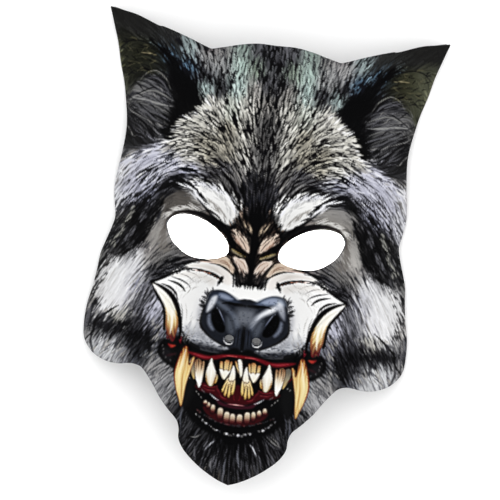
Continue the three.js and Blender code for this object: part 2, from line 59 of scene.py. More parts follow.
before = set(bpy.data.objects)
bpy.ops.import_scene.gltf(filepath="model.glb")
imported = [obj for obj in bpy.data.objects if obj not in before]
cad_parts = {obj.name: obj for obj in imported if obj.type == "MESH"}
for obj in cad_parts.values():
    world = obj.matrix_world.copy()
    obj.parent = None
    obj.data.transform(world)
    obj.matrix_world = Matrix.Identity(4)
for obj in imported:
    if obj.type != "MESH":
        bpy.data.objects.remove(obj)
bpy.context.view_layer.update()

MM = 0.001

# Sizes of the mask, as in the CAD part

FACE_WIDTH = 228.0
EAR_SPAN = 241.0
EAR_RISE = 155.0
CROWN_RISE = 139.5
CHIN_DROP = 170.0
FACE_DEPTH = 62.0
MUZZLE_DEPTH = 31.0
MUZZLE_WIDTH = 96.0
WALL = 2.6
EYE_X = 40.4
EYE_WIDTH = 46.0
EYE_HEIGHT = 29.8
EYE_Y = 0.017 * EYE_HEIGHT
EYE_SLANT = 14.0
SOCKET_DEPTH = 8.0
BROW_HEIGHT = 6.0
NOSE_WIDTH = 60.0
NOSE_HEIGHT = 36.0
NOSE_DROP = 52.0
NOSE_RELIEF = 4.0
NOSTRIL_LENGTH = 19.0
NOSTRIL_WIDTH = 8.0
NOSTRIL_DEPTH = 1.2
BREATH_HOLE = (6.4, 5.2)
BREATH_HOLE_SPACING = 19.0
BREATH_HOLE_DROP = 67.0
MOUTH_WIDTH = 84.0
MOUTH_DROP = 92.0
MOUTH_HEIGHT = 26.0
MOUTH_DEPTH = 6.0
LIP_HEIGHT = 4.0
JOWL_HEIGHT = 4.0
CHIN_HEIGHT = 5.0
FANG = (41.0, 8.6)
TUSK = (45.0, 9.5)
CANINE = (19.0, 7.5)
TOOTH_HEIGHT = 3.4
FOREHEAD_HEIGHT = 5.0
FOREHEAD_GROOVE = 3.0
CHEEKBONE_HEIGHT = 6.0
CHEEK_HOLLOW = 4.0
TEMPLE_DENT = 4.0
EAR_BOWL_DEPTH = 8.0
EAR_RIM_HEIGHT = 4.0
STRAP_WIDTH = 20.0
STRAP_THICKNESS = 1.2
STRAP_RISE = 38.0
STRAP_HUMP = 7.0
STRAP_TURN_RADIUS = 8.0
STRAP_START = 0.79
STRAP_LEAVE = 0.925
PATCH_LENGTH = 16.0
PATCH_MARGIN = 6.0
PATCH_THICKNESS = 1.4
GAP = 0.3
FACET_SAG = 0.29

# Outline of the right half, as shares of half a width and of a rise or drop

CROWN_EDGE = [(0.000, 1.000), (0.110, 1.001), (0.210, 0.987), (0.300, 0.966), (0.378, 0.949)]
EAR_TOP_EDGE = [
    (0.420, 0.865), (0.540, 0.900), (0.664, 0.931), (0.705, 0.936), (0.830, 0.973), (0.920, 0.988),
    (1.000, 1.000),
]
EAR_SIDE_EDGE = [
    (0.980, 0.957), (0.957, 0.903), (0.930, 0.839), (0.902, 0.748), (0.870, 0.665), (0.847, 0.581),
    (0.830, 0.503), (0.826, 0.435),
]
CHEEK_EDGE = [
    (0.884, -0.310), (0.899, -0.235), (0.906, -0.165), (0.892, -0.100), (0.881, -0.050),
    (0.897, 0.000), (0.925, 0.059), (0.947, 0.112), (0.956, 0.176), (0.971, 0.247), (0.994, 0.324),
    (0.999, 0.400), (0.989, 0.459), (0.949, 0.502), (0.896, 0.530), (0.821, 0.548), (0.750, 0.551),
    (0.706, 0.546), (0.650, 0.545), (0.598, 0.560), (0.530, 0.615), (0.477, 0.667), (0.415, 0.714),
    (0.357, 0.753), (0.337, 0.788), (0.334, 0.824), (0.313, 0.856), (0.274, 0.888), (0.212, 0.924),
    (0.150, 0.953), (0.071, 0.982), (0.000, 1.000),
]
EYE_EDGE = [
    (1.00, 0.54), (0.74, 0.90), (0.33, 1.00), (-0.15, 0.83), (-0.58, 0.47), (-0.89, 0.02),
    (-1.00, -0.40), (-0.92, -0.73), (-0.58, -0.93), (-0.17, -1.00), (0.24, -0.88), (0.64, -0.47),
    (0.91, 0.05),
]

# Cross sections: share of the rise or drop, then rim, spine, muzzle and flank

EAR_SECTIONS = [
    (1.030, 1.030, 0.43, 0.00, 0.30), (0.900, 0.967, 0.60, 0.00, 0.30),
    (0.775, 0.912, 0.78, 0.00, 0.30), (0.610, 0.866, 0.93, 0.00, 0.30),
]
TEMPLE_SECTIONS = [
    (0.450, 0.891, 1.02, 0.00, 0.30), (0.290, 0.902, 1.06, 0.00, 0.30),
    (0.180, 0.907, 1.06, 0.00, 0.31), (0.058, 0.892, 1.02, 0.04, 0.34),
]
CHEEK_SECTIONS = [
    (-0.059, 0.930, 1.00, 0.25, 0.42), (-0.176, 0.961, 0.98, 0.76, 0.65),
    (-0.324, 0.996, 0.97, 1.00, 0.90), (-0.400, 1.002, 0.96, 0.90, 0.98),
    (-0.470, 0.996, 0.94, 0.74, 1.00), (-0.588, 0.955, 0.86, 0.60, 0.95),
    (-0.735, 0.870, 0.72, 0.42, 0.82), (-0.882, 0.780, 0.54, 0.22, 0.67),
    (-1.020, 0.690, 0.33, 0.06, 0.52),
]


def sized(rows, rise, span):
    """Section rows in millimetres."""
    scale = (rise, span / 2, FACE_DEPTH, MUZZLE_DEPTH, MUZZLE_WIDTH / 2)
    return [[value * size for value, size in zip(row, scale)] for row in rows]


SECTIONS = np.array(
    sized(EAR_SECTIONS, EAR_RISE, EAR_SPAN)
    + sized(TEMPLE_SECTIONS, EAR_RISE, FACE_WIDTH)
    + sized(CHEEK_SECTIONS, CHIN_DROP, FACE_WIDTH)
)[::-1]
COLUMN = {"rim": 1, "spine": 2, "muzzle": 3, "flank": 4}


def section(name, y):
    """Value of a section column at height y, on a smooth curve through the rows."""
    knots = SECTIONS[:, 0]
    values = SECTIONS[:, COLUMN[name]]
    last = len(knots) - 1
    before = np.maximum(np.arange(last + 1) - 1, 0)
    after = np.minimum(np.arange(last + 1) + 1, last)
    slopes = (values[after] - values[before]) / (knots[after] - knots[before])
    at = np.clip(y, knots[0], knots[last])
    i = np.clip(np.searchsorted(knots, at) - 1, 0, last - 1)
    step = knots[i + 1] - knots[i]
    t = (at - knots[i]) / step
    return (
        values[i] * (2 * t**3 - 3 * t**2 + 1)
        + slopes[i] * step * (t**3 - 2 * t**2 + t)
        + values[i + 1] * (3 * t**2 - 2 * t**3)
        + slopes[i + 1] * step * (t**3 - t**2)
    )


HALF_FACE = FACE_WIDTH / 2
HALF_EARS = EAR_SPAN / 2

# Hills and hollows: x, y, wide, tall, turn, bend, rise. Mirrored to the left side.
FORM = [
    (EYE_X, EYE_Y, 0.62 * EYE_WIDTH, 0.66 * EYE_HEIGHT, EYE_SLANT, 0, -SOCKET_DEPTH),
    (EYE_X, EYE_Y + 0.95 * EYE_HEIGHT, 0.72 * EYE_WIDTH, 0.36 * EYE_HEIGHT, EYE_SLANT, 0, BROW_HEIGHT),
    (0, -NOSE_DROP, 0.46 * NOSE_WIDTH, 0.50 * NOSE_HEIGHT, 0, 0, NOSE_RELIEF),
    (0.28 * MOUTH_WIDTH, -0.79 * MOUTH_DROP, 0.26 * MOUTH_WIDTH, 0.46 * MOUTH_HEIGHT, 0, 0, JOWL_HEIGHT),
    (0, -MOUTH_DROP, 0.50 * MOUTH_WIDTH, 0.46 * MOUTH_HEIGHT, 0, 0, -MOUTH_DEPTH),
    (0, -1.24 * MOUTH_DROP, 0.44 * MOUTH_WIDTH, 0.28 * MOUTH_HEIGHT, 0, 0.37, LIP_HEIGHT),
    (0, -0.84 * CHIN_DROP, 0.24 * HALF_FACE, 0.10 * CHIN_DROP, 0, 0, CHIN_HEIGHT),
    (0.25 * HALF_FACE, 0.48 * CROWN_RISE, 0.30 * HALF_FACE, 0.22 * CROWN_RISE, 0, 0, FOREHEAD_HEIGHT),
    (0, 0.52 * CROWN_RISE, 0.08 * HALF_FACE, 0.34 * CROWN_RISE, 0, 0, -FOREHEAD_GROOVE),
    (0.64 * HALF_FACE, -0.19 * CHIN_DROP, 0.22 * HALF_FACE, 0.12 * CHIN_DROP, 0, 0, CHEEKBONE_HEIGHT),
    (0.67 * HALF_FACE, -0.47 * CHIN_DROP, 0.19 * HALF_FACE, 0.10 * CHIN_DROP, 0, 0, -CHEEK_HOLLOW),
    (0.72 * HALF_FACE, 0.06 * CHIN_DROP, 0.13 * HALF_FACE, 0.09 * CHIN_DROP, 0, 0, -TEMPLE_DENT),
    (0.69 * HALF_EARS, 0.73 * EAR_RISE, 0.20 * HALF_EARS, 0.15 * EAR_RISE, 0, 0, -EAR_BOWL_DEPTH),
    (0.70 * HALF_EARS, 0.90 * EAR_RISE, 0.28 * HALF_EARS, 0.055 * EAR_RISE, 18, 0, EAR_RIM_HEIGHT),
]
NOSTRIL = (
    0.325 * NOSE_WIDTH, -NOSE_DROP - 0.08 * NOSE_HEIGHT, NOSTRIL_WIDTH / 2, NOSTRIL_LENGTH / 2, -24, 0,
    -NOSTRIL_DEPTH,
)
CROWN_ROUND = 0.55
RIM_TURN = 0.45


def hill(row, x, y):
    """A rounded hill or hollow at (x, y)."""
    at_x, at_y, wide, tall, turn, bend, rise = row
    turn = np.radians(turn)
    dx = x - at_x
    dy = y - at_y - bend * dx * dx / wide
    along = (dx * np.cos(turn) + dy * np.sin(turn)) / wide
    across = (dy * np.cos(turn) - dx * np.sin(turn)) / tall
    return rise * np.exp(-(along**2 + across**2))


def form(x, y):
    """Height of the pressed sheet without its teeth."""
    side = np.abs(x)
    s = side / section("rim", y)
    height = section("spine", y) * (1 - CROWN_ROUND * s**2 - RIM_TURN * s**6)
    height = height + section("muzzle", y) * np.exp(-((side / section("flank", y)) ** 4))
    for row in FORM:
        height = height + hill(row, side, y)
        if row[0] > 0:
            height = height + hill(row, -side, y)
    return height


def bezier(points, count):
    """Points along a quadratic or cubic curve."""
    t = np.linspace(0, 1, count + 1)[:, None]
    layer = [np.array(p, float) for p in points]
    while len(layer) > 1:
        layer = [a * (1 - t) + b * t for a, b in zip(layer, layer[1:])]
    return layer[0]


def horn(size, root, middle, tip):
    """A tooth that stands out of the sheet: its width and middle line."""
    length, width = size
    points = [
        (root[0] * MOUTH_WIDTH, root[1] * MOUTH_DROP),
        (middle[0] * MOUTH_WIDTH, root[1] * MOUTH_DROP + middle[1] * length),
        (tip[0] * MOUTH_WIDTH, root[1] * MOUTH_DROP + tip[1] * length),
    ]
    return width, bezier(points, 14)


HORNS = [
    horn(TUSK, (0.555, -0.84), (0.585, 0.56), (0.80, 0.86)),
    horn(FANG, (0.485, -0.84), (0.555, -0.5), (0.475, -1.0)),
    horn(CANINE, (0.232, -0.90), (0.240, -0.5), (0.225, -1.0)),
]


def horn_rise(width, line, x, y):
    """How far a tooth stands off the sheet at (x, y)."""
    best = np.full(x.shape, np.inf)
    along = np.zeros(x.shape)
    last = len(line) - 1
    for i in range(last):
        ax, ay = line[i]
        ex, ey = line[i + 1] - line[i]
        t = np.clip(((x - ax) * ex + (y - ay) * ey) / (ex * ex + ey * ey), 0, 1)
        distance = np.hypot(x - ax - t * ex, y - ay - t * ey)
        along = np.where(distance < best, (i + t) / last, along)
        best = np.minimum(best, distance)
    half = width / 2 * np.sqrt(np.clip(1 - along**2.4, 0, 1)) * (0.82 + 0.5 * along * (1 - along))
    round_off = np.sqrt(np.clip(1 - (best / np.maximum(half, 1e-6)) ** 2, 0, 1))
    return TOOTH_HEIGHT * round_off * np.minimum(1, 2 * half / width + 0.2)


def relief(x, y):
    """Teeth and nostrils on the sheet."""
    side = np.abs(x)
    height = hill(NOSTRIL, side, y)
    for width, line in HORNS:
        height = np.maximum(height, horn_rise(width, line, side, y))
    return height


SLOPE_STEP = 2.0
EDGE_STEP = 1.2
SNAP = 0.32
SLIVER = 0.002
HOLE_REACH = 8


def outward(x, y):
    """Unit directions out of the sheet."""
    dx = (form(x + SLOPE_STEP, y) - form(x - SLOPE_STEP, y)) / (2 * SLOPE_STEP)
    dy = (form(x, y + SLOPE_STEP) - form(x, y - SLOPE_STEP)) / (2 * SLOPE_STEP)
    n = np.stack([-dx, -dy, np.ones_like(dx)], -1)
    return n / np.linalg.norm(n, axis=-1, keepdims=True)


def behind(x, y, depth):
    """Points that lie that deep behind the smooth face at (x, y)."""
    x = np.asarray(x, float)
    y = np.asarray(y, float)
    return np.stack([x, y, form(x, y)], -1) - outward(x, y) * depth


def spots(points):
    """Points from text such as 3,4 5,6 or from pairs."""
    if isinstance(points, str):
        return [tuple(map(float, pair.split(","))) for pair in points.split()]
    return points


def path(points, closed=False, step=0.4):
    """Close points on a smooth curve through the given ones."""
    p = np.array(spots(points), float)
    if closed:
        q = np.vstack([p[-1], p, p[0], p[1]])
    else:
        q = np.vstack([2 * p[0] - p[1], p, 2 * p[-1] - p[-2]])
    out = []
    for i in range(1, len(q) - 2):
        a, b, c, d = q[i - 1], q[i], q[i + 1], q[i + 2]
        n = max(int(np.hypot(*(c - b)) / step), 2)
        t = np.linspace(0, 1, n, endpoint=False)[:, None]
        out.append(0.5 * (2 * b + (c - a) * t + (2 * a - 5 * b + 4 * c - d) * t**2
                          + (3 * b - a - 3 * c + d) * t**3))
    out = np.vstack(out)
    return out if closed else np.vstack([out, p[-1]])


def placed(rows, wide, tall, x=0.0, y=0.0):
    return [(x + a * wide, y + b * tall) for a, b in rows]


def nearest(loop, x, y):
    """Signed distance to a closed line, above zero inside it, and the nearest point on it."""
    a = np.array(loop, float)
    b = np.roll(a, -1, axis=0)
    best = np.full(x.shape, 1e9)
    near = np.zeros((2,) + x.shape)
    inside = np.zeros(x.shape, bool)
    for (ax, ay), (bx, by) in zip(a, b):
        ex, ey = bx - ax, by - ay
        t = np.clip(((x - ax) * ex + (y - ay) * ey) / max(ex * ex + ey * ey, 1e-12), 0, 1)
        px, py = ax + t * ex, ay + t * ey
        d2 = (x - px) ** 2 + (y - py) ** 2
        closer = d2 < best
        best = np.where(closer, d2, best)
        near[0] = np.where(closer, px, near[0])
        near[1] = np.where(closer, py, near[1])
        if ay != by:
            crossing = (ay > y) != (by > y)
            inside ^= crossing & (x < (bx - ax) * (y - ay) / (by - ay) + ax)
    return np.where(inside, 1.0, -1.0) * np.sqrt(best), near


def sheet_loops(step):
    """Outline of the sheet and its holes, as closed lines."""
    crown = placed(CROWN_EDGE, HALF_EARS, CROWN_RISE)
    ear_top = placed(EAR_TOP_EDGE, HALF_EARS, EAR_RISE)
    side = placed(EAR_SIDE_EDGE, HALF_EARS, EAR_RISE) + placed(CHEEK_EDGE, HALF_FACE, -CHIN_DROP)
    right = np.vstack([
        path(crown, step=step)[:-1],
        path([crown[-1]] + ear_top, step=step)[:-1],
        path([ear_top[-1]] + side, step=step),
    ])
    left = right[1:-1][::-1] * (-1, 1)
    eye = path(placed(EYE_EDGE, EYE_WIDTH / 2, EYE_HEIGHT / 2, EYE_X, EYE_Y), closed=True, step=step)
    turn = np.linspace(0, 2 * np.pi, 17)[:-1]
    hole = np.stack([
        BREATH_HOLE_SPACING / 2 + BREATH_HOLE[0] / 2 * np.cos(turn),
        -BREATH_HOLE_DROP + BREATH_HOLE[1] / 2 * np.sin(turn),
    ], 1)
    return np.vstack([right, left]), [eye, eye * (-1, 1), hole, hole * (-1, 1)]


def margin(x, y, step):
    """Distance inside the sheet and the nearest point of its edges."""
    outline, holes = sheet_loops(step)
    best, near = nearest(outline, x, y)
    for hole in holes:
        box_lo, box_hi = hole.min(0) - HOLE_REACH, hole.max(0) + HOLE_REACH
        close = (x > box_lo[0]) & (x < box_hi[0]) & (y > box_lo[1]) & (y < box_hi[1])
        d, n = nearest(hole, x[close], y[close])
        nearer = -d < best[close]
        best[close] = np.where(nearer, -d, best[close])
        near[:, close] = np.where(nearer, n, near[:, close])
    return best, near


def cut_sheet(pitch):
    """Even triangles over the sheet, cut to its outline and holes: points and triangles."""
    step = min(pitch, EDGE_STEP)
    row_step = pitch * np.sqrt(3) / 2
    half = int(HALF_EARS * 1.02 / pitch) + 2
    low, high = -CHIN_DROP - pitch, EAR_RISE + 2 * pitch
    rows = int((high - low) / row_step) + 2
    j, i = np.mgrid[0:rows, 0:2 * half + 1]
    x = ((i - half + (j % 2) / 2) * pitch).ravel()
    y = (low + j * row_step).ravel()
    d, near = margin(x, y, step)
    snapped = np.abs(d) < SNAP * pitch
    x = np.where(snapped, near[0], x)
    y = np.where(snapped, near[1], y)
    d = np.where(snapped, 0.0, d)
    at = (j * (2 * half + 1) + i)[:-1, :-1]
    right, up, both_ways = at + 1, at + 2 * half + 1, at + 2 * half + 2
    even = (j[:-1, :-1] % 2 == 0).ravel()
    at, right, up, both_ways = at.ravel(), right.ravel(), up.ravel(), both_ways.ravel()
    first = np.where(even[:, None], np.stack([at, right, up], 1), np.stack([at, right, both_ways], 1))
    second = np.where(even[:, None], np.stack([right, both_ways, up], 1),
                      np.stack([at, both_ways, up], 1))
    cells = np.vstack([first, second])
    signs = np.sign(d)[cells]
    whole = (signs >= 0).all(1) & ((signs > 0).any(1))
    cut = (signs > 0).any(1) & (signs < 0).any(1)
    points = [np.stack([x, y], 1)]
    triangles = [cells[whole]]
    made = {}
    extra = []
    count = len(x)
    loose = []
    for cell, sign in zip(cells[cut], signs[cut]):
        ring = []
        for k in range(3):
            a, b = cell[k], cell[(k + 1) % 3]
            if sign[k] >= 0:
                ring.append(a)
            if sign[k] * sign[(k + 1) % 3] < 0:
                key = (min(a, b), max(a, b))
                if key not in made:
                    t = d[a] / (d[a] - d[b])
                    made[key] = count + len(extra)
                    extra.append((x[a] + t * (x[b] - x[a]), y[a] + t * (y[b] - y[a])))
                ring.append(made[key])
        loose += [(ring[0], ring[k], ring[k + 1]) for k in range(1, len(ring) - 1)]
    extra = np.array(extra)
    _, on_edge = margin(extra[:, 0], extra[:, 1], step)
    points.append(on_edge.T)
    triangles.append(np.array(loose))
    points, triangles = np.vstack(points), np.vstack(triangles)
    centre = points[triangles].mean(1)
    a, b, c = (points[triangles[:, k]] for k in range(3))
    area = (b[:, 0] - a[:, 0]) * (c[:, 1] - a[:, 1]) - (b[:, 1] - a[:, 1]) * (c[:, 0] - a[:, 0])
    inside, _ = margin(centre[:, 0], centre[:, 1], step)
    triangles = triangles[(area > SLIVER * pitch**2) & (inside > 0)]
    used, triangles = np.unique(triangles, return_inverse=True)
    return points[used], triangles.reshape(-1, 3)


def rim_edges(triangles):
    """Directed edges that belong to one triangle only."""
    edges = np.vstack([triangles[:, [0, 1]], triangles[:, [1, 2]], triangles[:, [2, 0]]])
    size = edges.max() + 1
    forward = edges[:, 0].astype(np.int64) * size + edges[:, 1]
    backward = edges[:, 1].astype(np.int64) * size + edges[:, 0]
    return edges[~np.isin(forward, backward)]


# The print

PIXEL = 0.35
LEFT, RIGHT, BOTTOM, TOP = -126.0, 126.0, -176.0, 162.0
COLUMNS = int((RIGHT - LEFT) / PIXEL)
ROWS = int((TOP - BOTTOM) / PIXEL)
HAIR_SIZE = 0.36
HAIR_SHARE = 0.62
LOCK_SIZE = 0.9
HAIR_STRENGTH = 0.92
HAIR_STEPS = 8
BATCH = 260
CRISP = 0.55
TINT_KEPT = 0.82
PAINTED = (0, 30, 51, 84, 124, 162, 194, 234, 255)
PRINTED = (0, 13, 32, 64, 110, 151, 188, 219, 227)

COLOURS = {
    "black": (6, 6, 8),
    "ink": (14, 14, 17),
    "night": (22, 25, 36),
    "coal": (34, 34, 38),
    "slate": (58, 58, 63),
    "steel": (92, 92, 97),
    "ash": (126, 125, 124),
    "stone": (150, 147, 143),
    "straw": (168, 163, 148),
    "bone": (198, 196, 187),
    "mist": (190, 191, 207),
    "lavender": (160, 162, 182),
    "pearl": (212, 213, 220),
    "snow": (236, 236, 237),
    "teal": (158, 178, 170),
    "fern": (122, 134, 122),
    "moss": (58, 60, 48),
    "olive": (84, 84, 60),
    "sage": (112, 114, 94),
    "denim": (80, 104, 124),
    "tan": (208, 180, 158),
    "rust": (112, 72, 52),
}


def colour(look):
    """A tint from its name, from text such as 46,46,46 or from its three numbers."""
    if isinstance(look, str):
        look = COLOURS[look] if look in COLOURS else look.split(",")
    return np.array(look, float) / 255


def depth_in(outline, x, y):
    """How deep the place x, y lies inside the outline. Below zero outside it."""
    return nearest(np.array(spots(outline)), np.array([x]), np.array([y]))[0][0]


def window(low, high):
    """Rows and columns of the print between these corners, with their coordinates."""
    c0, c1 = int(max((low[0] - LEFT) / PIXEL, 0)), int(min((high[0] - LEFT) / PIXEL + 1, COLUMNS))
    r0, r1 = int(max((TOP - high[1]) / PIXEL, 0)), int(min((TOP - low[1]) / PIXEL + 1, ROWS))
    y, x = np.mgrid[r0:r1, c0:c1]
    return slice(r0, r1), slice(c0, c1), LEFT + (x + 0.5) * PIXEL, TOP - (y + 0.5) * PIXEL


def fill(ink, points, tint, soft=0.8, strength=1.0, ragged=0.0, smooth=True):
    """Lays a patch. tint is a colour or a function of place; a ragged edge breaks up along the hair."""
    edge = path(points, closed=True, step=1.0) if smooth else points
    beyond = soft + ragged / 2 + 1
    rows, columns, x, y = window(edge.min(0) - beyond, edge.max(0) + beyond)
    depth = nearest(edge, x, y)[0] + (ink.strand[rows, columns] - 0.5) * ragged
    cover = strength * np.clip(depth / soft + 0.5, 0, 1)[..., None]
    shade = tint(x, y) if callable(tint) else colour(tint)
    ink.tone[rows, columns] = ink.tone[rows, columns] * (1 - cover) + shade * cover


def dabs(ink, x, y, radius, tint, strength, soft=0.45):
    """Lays round dabs at once: where they meet, the strongest one gives the colour."""
    reach = int(np.ceil((radius.max() + soft / 2) / PIXEL))
    dr, dc = np.mgrid[-reach:reach + 1, -reach:reach + 1]
    dr, dc = dr.ravel(), dc.ravel()
    column = (x - LEFT) / PIXEL - 0.5
    row = (TOP - y) / PIXEL - 0.5
    near_c, near_r = np.round(column).astype(int), np.round(row).astype(int)
    c0, c1 = max(near_c.min() - reach, 0), min(near_c.max() + reach + 1, COLUMNS)
    r0, r1 = max(near_r.min() - reach, 0), min(near_r.max() + reach + 1, ROWS)
    cc = near_c[:, None] + dc
    rr = near_r[:, None] + dr
    distance = np.hypot(cc - column[:, None], rr - row[:, None]) * PIXEL
    cover = strength[:, None] * np.clip((radius[:, None] - distance) / soft + 0.5, 0, 1)
    good = (cover > 0.02) & (cc >= c0) & (cc < c1) & (rr >= r0) & (rr < r1)
    which = np.nonzero(good)[0]
    cover, place = cover[good], ((rr - r0) * (c1 - c0) + cc - c0)[good]
    order = np.argsort(cover)
    best = np.zeros((r1 - r0) * (c1 - c0))
    source = np.zeros(len(best), int)
    best[place[order]] = cover[order]
    source[place[order]] = which[order]
    touched = np.nonzero(best)[0]
    view = ink.tone[r0:r1, c0:c1]
    rows, columns = touched // (c1 - c0), touched % (c1 - c0)
    share = best[touched][:, None]
    view[rows, columns] = view[rows, columns] * (1 - share) + tint[source[touched]] * share


def stroke(ink, points, widths, tints, strength=1.0, soft=0.45):
    """A line through the points, with widths and colours spread evenly along it. tints may be one colour."""
    p = path(points, step=0.3)
    t = np.linspace(0, 1, len(p))
    radius = np.interp(t, np.linspace(0, 1, len(widths)), widths) / 2
    c = np.array([colour(n) for n in (tints if isinstance(tints, list) else [tints])])
    tint = np.stack([np.interp(t, np.linspace(0, 1, len(c)), c[:, k]) for k in range(3)], 1)
    dabs(ink, p[:, 0], p[:, 1], radius, tint, np.full(len(p), float(strength)), soft)


def sided(points, side, inwards=0.0):
    """The points on the right side (1) or mirrored to the left (-1), moved inwards."""
    return [(side * (x - inwards), y) for x, y in spots(points)]


def both(draw, ink, points, *look, **named):
    """Draws a thing on the right side and its mirror image on the left."""
    for side in (1, -1):
        draw(ink, sided(points, side), *look, **named)


def hair(x, y, turn, reach):
    """The two ends of a straight hair."""
    return [(x, y), (x + reach * np.cos(turn), y + reach * np.sin(turn))]


class Coat:
    """How hair lies over the face, from the rows of FUR and their mirror images."""

    def __init__(self):
        rows = []
        for line in FUR.strip().splitlines():
            words = line.split()
            x, y, angle, length, width, dark = map(float, words[:5] + words[7:])
            flow = np.cos(np.radians(angle)), np.sin(np.radians(angle))
            rows.append([x, y, *flow, length, width, dark, *colour(words[5]), *colour(words[6])])
        rows += [[-row[0], row[1], -row[2], *row[3:]] for row in rows]
        self.x, self.y = np.array(rows)[:, :2].T
        self.values = np.array(rows)[:, 2:]

    def at(self, x, y):
        d2 = (x[:, None] - self.x) ** 2 + (y[:, None] - self.y) ** 2
        w = 1 / (d2 + 16) ** 2
        return (w @ self.values) / w.sum(1, keepdims=True)


def blurred(noise, size):
    """The noise with what is finer than size millimetres taken out."""
    fy = np.fft.fftfreq(ROWS)[:, None]
    fx = np.fft.rfftfreq(COLUMNS)[None]
    keep = np.exp(-2 * (np.pi * size / PIXEL) ** 2 * (fy**2 + fx**2))
    return np.fft.irfft2(np.fft.rfft2(noise) * keep, noise.shape)


def level(values):
    """The same picture with its values spread evenly from 0 to 1."""
    flat = np.empty(values.size)
    flat[np.argsort(values, axis=None)] = np.linspace(0, 1, values.size)
    return flat.reshape(values.shape)


def strands(lie, rng, size, share):
    """Noise drawn out along the lie of the hair, over a share of its length."""
    noise = blurred(rng.normal(size=(ROWS, COLUMNS)), size).ravel()
    norm = np.hypot(lie[..., 0], lie[..., 1])
    dx, dy = (lie[..., 0] / norm).ravel(), (-lie[..., 1] / norm).ravel()
    reach = (lie[..., 2] * share / PIXEL).ravel()
    start_y, start_x = np.mgrid[0:ROWS, 0:COLUMNS].reshape(2, -1).astype(float)
    total, weights = noise.copy(), np.ones(noise.size)
    for way in (1.0, -1.0):
        x, y = start_x.copy(), start_y.copy()
        for k in range(1, int(reach.max())):
            at = y.astype(int) * COLUMNS + x.astype(int)
            x = np.clip(x + way * dx[at], 0, COLUMNS - 1)
            y = np.clip(y + way * dy[at], 0, ROWS - 1)
            weight = np.clip(1 - k / reach, 0, 1)
            total += weight * noise[y.astype(int) * COLUMNS + x.astype(int)]
            weights += weight**2
    return level((total / np.sqrt(weights)).reshape(ROWS, COLUMNS))


class Print:
    """The print while it is painted: its tone at every point, and the strands its hair follows."""

    def __init__(self, coat, rng, step=8):
        y, x = np.mgrid[0:ROWS + step:step, 0:COLUMNS + step:step]
        lie = coat.at((LEFT + x * PIXEL).ravel(), (TOP - y * PIXEL).ravel()).reshape(*x.shape, -1)
        rows, columns = np.arange(ROWS) / step, np.arange(COLUMNS) / step
        r, c = rows.astype(int), columns.astype(int)
        fr, fc = (rows - r)[:, None, None], (columns - c)[None, :, None]
        lie = lie[r] * (1 - fr) + lie[r + 1] * fr
        lie = lie[:, c] * (1 - fc) + lie[:, c + 1] * fc
        self.strand = strands(lie, rng, HAIR_SIZE, HAIR_SHARE)
        locks = strands(lie, rng, LOCK_SIZE, 1.0)
        bright = np.clip((self.strand - lie[..., 4] + 0.12 * (locks - 0.5)) / 0.2 + 0.5, 0, 1)[..., None]
        light = lie[..., 5:8] * (0.86 + 0.26 * locks[..., None])
        self.tone = np.ascontiguousarray(np.clip(lie[..., 8:11] * (1 - bright) + light * bright, 0, 1))


def comb(ink, rng, zone, coat, count):
    """Draws count hairs rooted inside the zone, farthest from the nose first."""
    edge = path(zone, closed=True, step=2.0)
    low, high = edge.min(0), edge.max(0)
    x = rng.uniform(low[0], high[0], count * 4)
    y = rng.uniform(low[1], high[1], count * 4)
    keep = nearest(edge, x, y)[0] > 0
    x, y = x[keep][:count], y[keep][:count]
    x = x * np.where(rng.random(len(x)) < 0.5, 1.0, -1.0)
    turn = np.argsort(-np.hypot(x, y + 50) + rng.uniform(-6, 6, len(x)))
    x, y = x[turn], y[turn]
    for start in range(0, len(x), BATCH):
        lay(ink, rng, coat, x[start:start + BATCH], y[start:start + BATCH])


def lay(ink, rng, coat, x, y):
    """Draws one batch of hairs. Those of the forehead are short flecks, the others long and calm."""
    n = len(x)
    at = coat.at(x, y)
    fleck = np.clip((y - 38) / 10, 0, 1) * np.clip((74 - np.abs(x)) / 8, 0, 1)
    is_dark = rng.random(n) < at[:, 4]
    calm = 1 - fleck
    length = at[:, 2] * rng.uniform(0.7, 1.3, n) * (1 - fleck * np.where(is_dark, 0.55, 0.42) + 0.15 * calm)
    width = at[:, 3] * rng.uniform(0.7, 1.3, n) * np.where(is_dark, 0.82, 1.12)
    shade = 1 + rng.normal(0, 1, n)[:, None] * (0.10 + 0.05 * fleck)[:, None]
    light, dark = at[:, 5:8] * shade, at[:, 8:11]
    tip = np.where(is_dark[:, None], dark, light)
    root = np.where(is_dark[:, None], dark, light * 0.7 + dark * 0.3)
    bend = np.radians(rng.normal(0, 1, n) * (5 + 5 * fleck)) / HAIR_STEPS
    lean = np.radians(rng.normal(0, 1, n) * (4 + 5 * fleck))
    px, py = [x], [y]
    for i in range(HAIR_STEPS):
        flow = coat.at(px[-1], py[-1])
        angle = np.arctan2(flow[:, 1], flow[:, 0]) + lean + bend * i
        px.append(px[-1] + np.cos(angle) * length / HAIR_STEPS)
        py.append(py[-1] + np.sin(angle) * length / HAIR_STEPS)
    px, py = np.array(px), np.array(py)
    count = int(np.ceil(length.max() / 0.32)) + 1
    t = np.linspace(0, 1, count)
    k = np.minimum((t * HAIR_STEPS).astype(int), HAIR_STEPS - 1)
    f = (t * HAIR_STEPS - k)[:, None]
    sx, sy = px[k] * (1 - f) + px[k + 1] * f, py[k] * (1 - f) + py[k + 1] * f
    profile = (np.minimum(t * 4 + 0.15, 1) * (1 - t**2.6) ** 0.7)[:, None]
    radius = np.maximum(width * profile / 2, 0.05)
    tint = root[None] * (1 - t[:, None, None]) + tip[None] * t[:, None, None]
    power = np.broadcast_to(HAIR_STRENGTH * np.minimum(1, profile * 1.5 + 0.15), radius.shape)
    dabs(ink, sx.ravel(), sy.ravel(), radius.ravel(), np.clip(tint, 0, 1).reshape(-1, 3),
         power.ravel().copy())


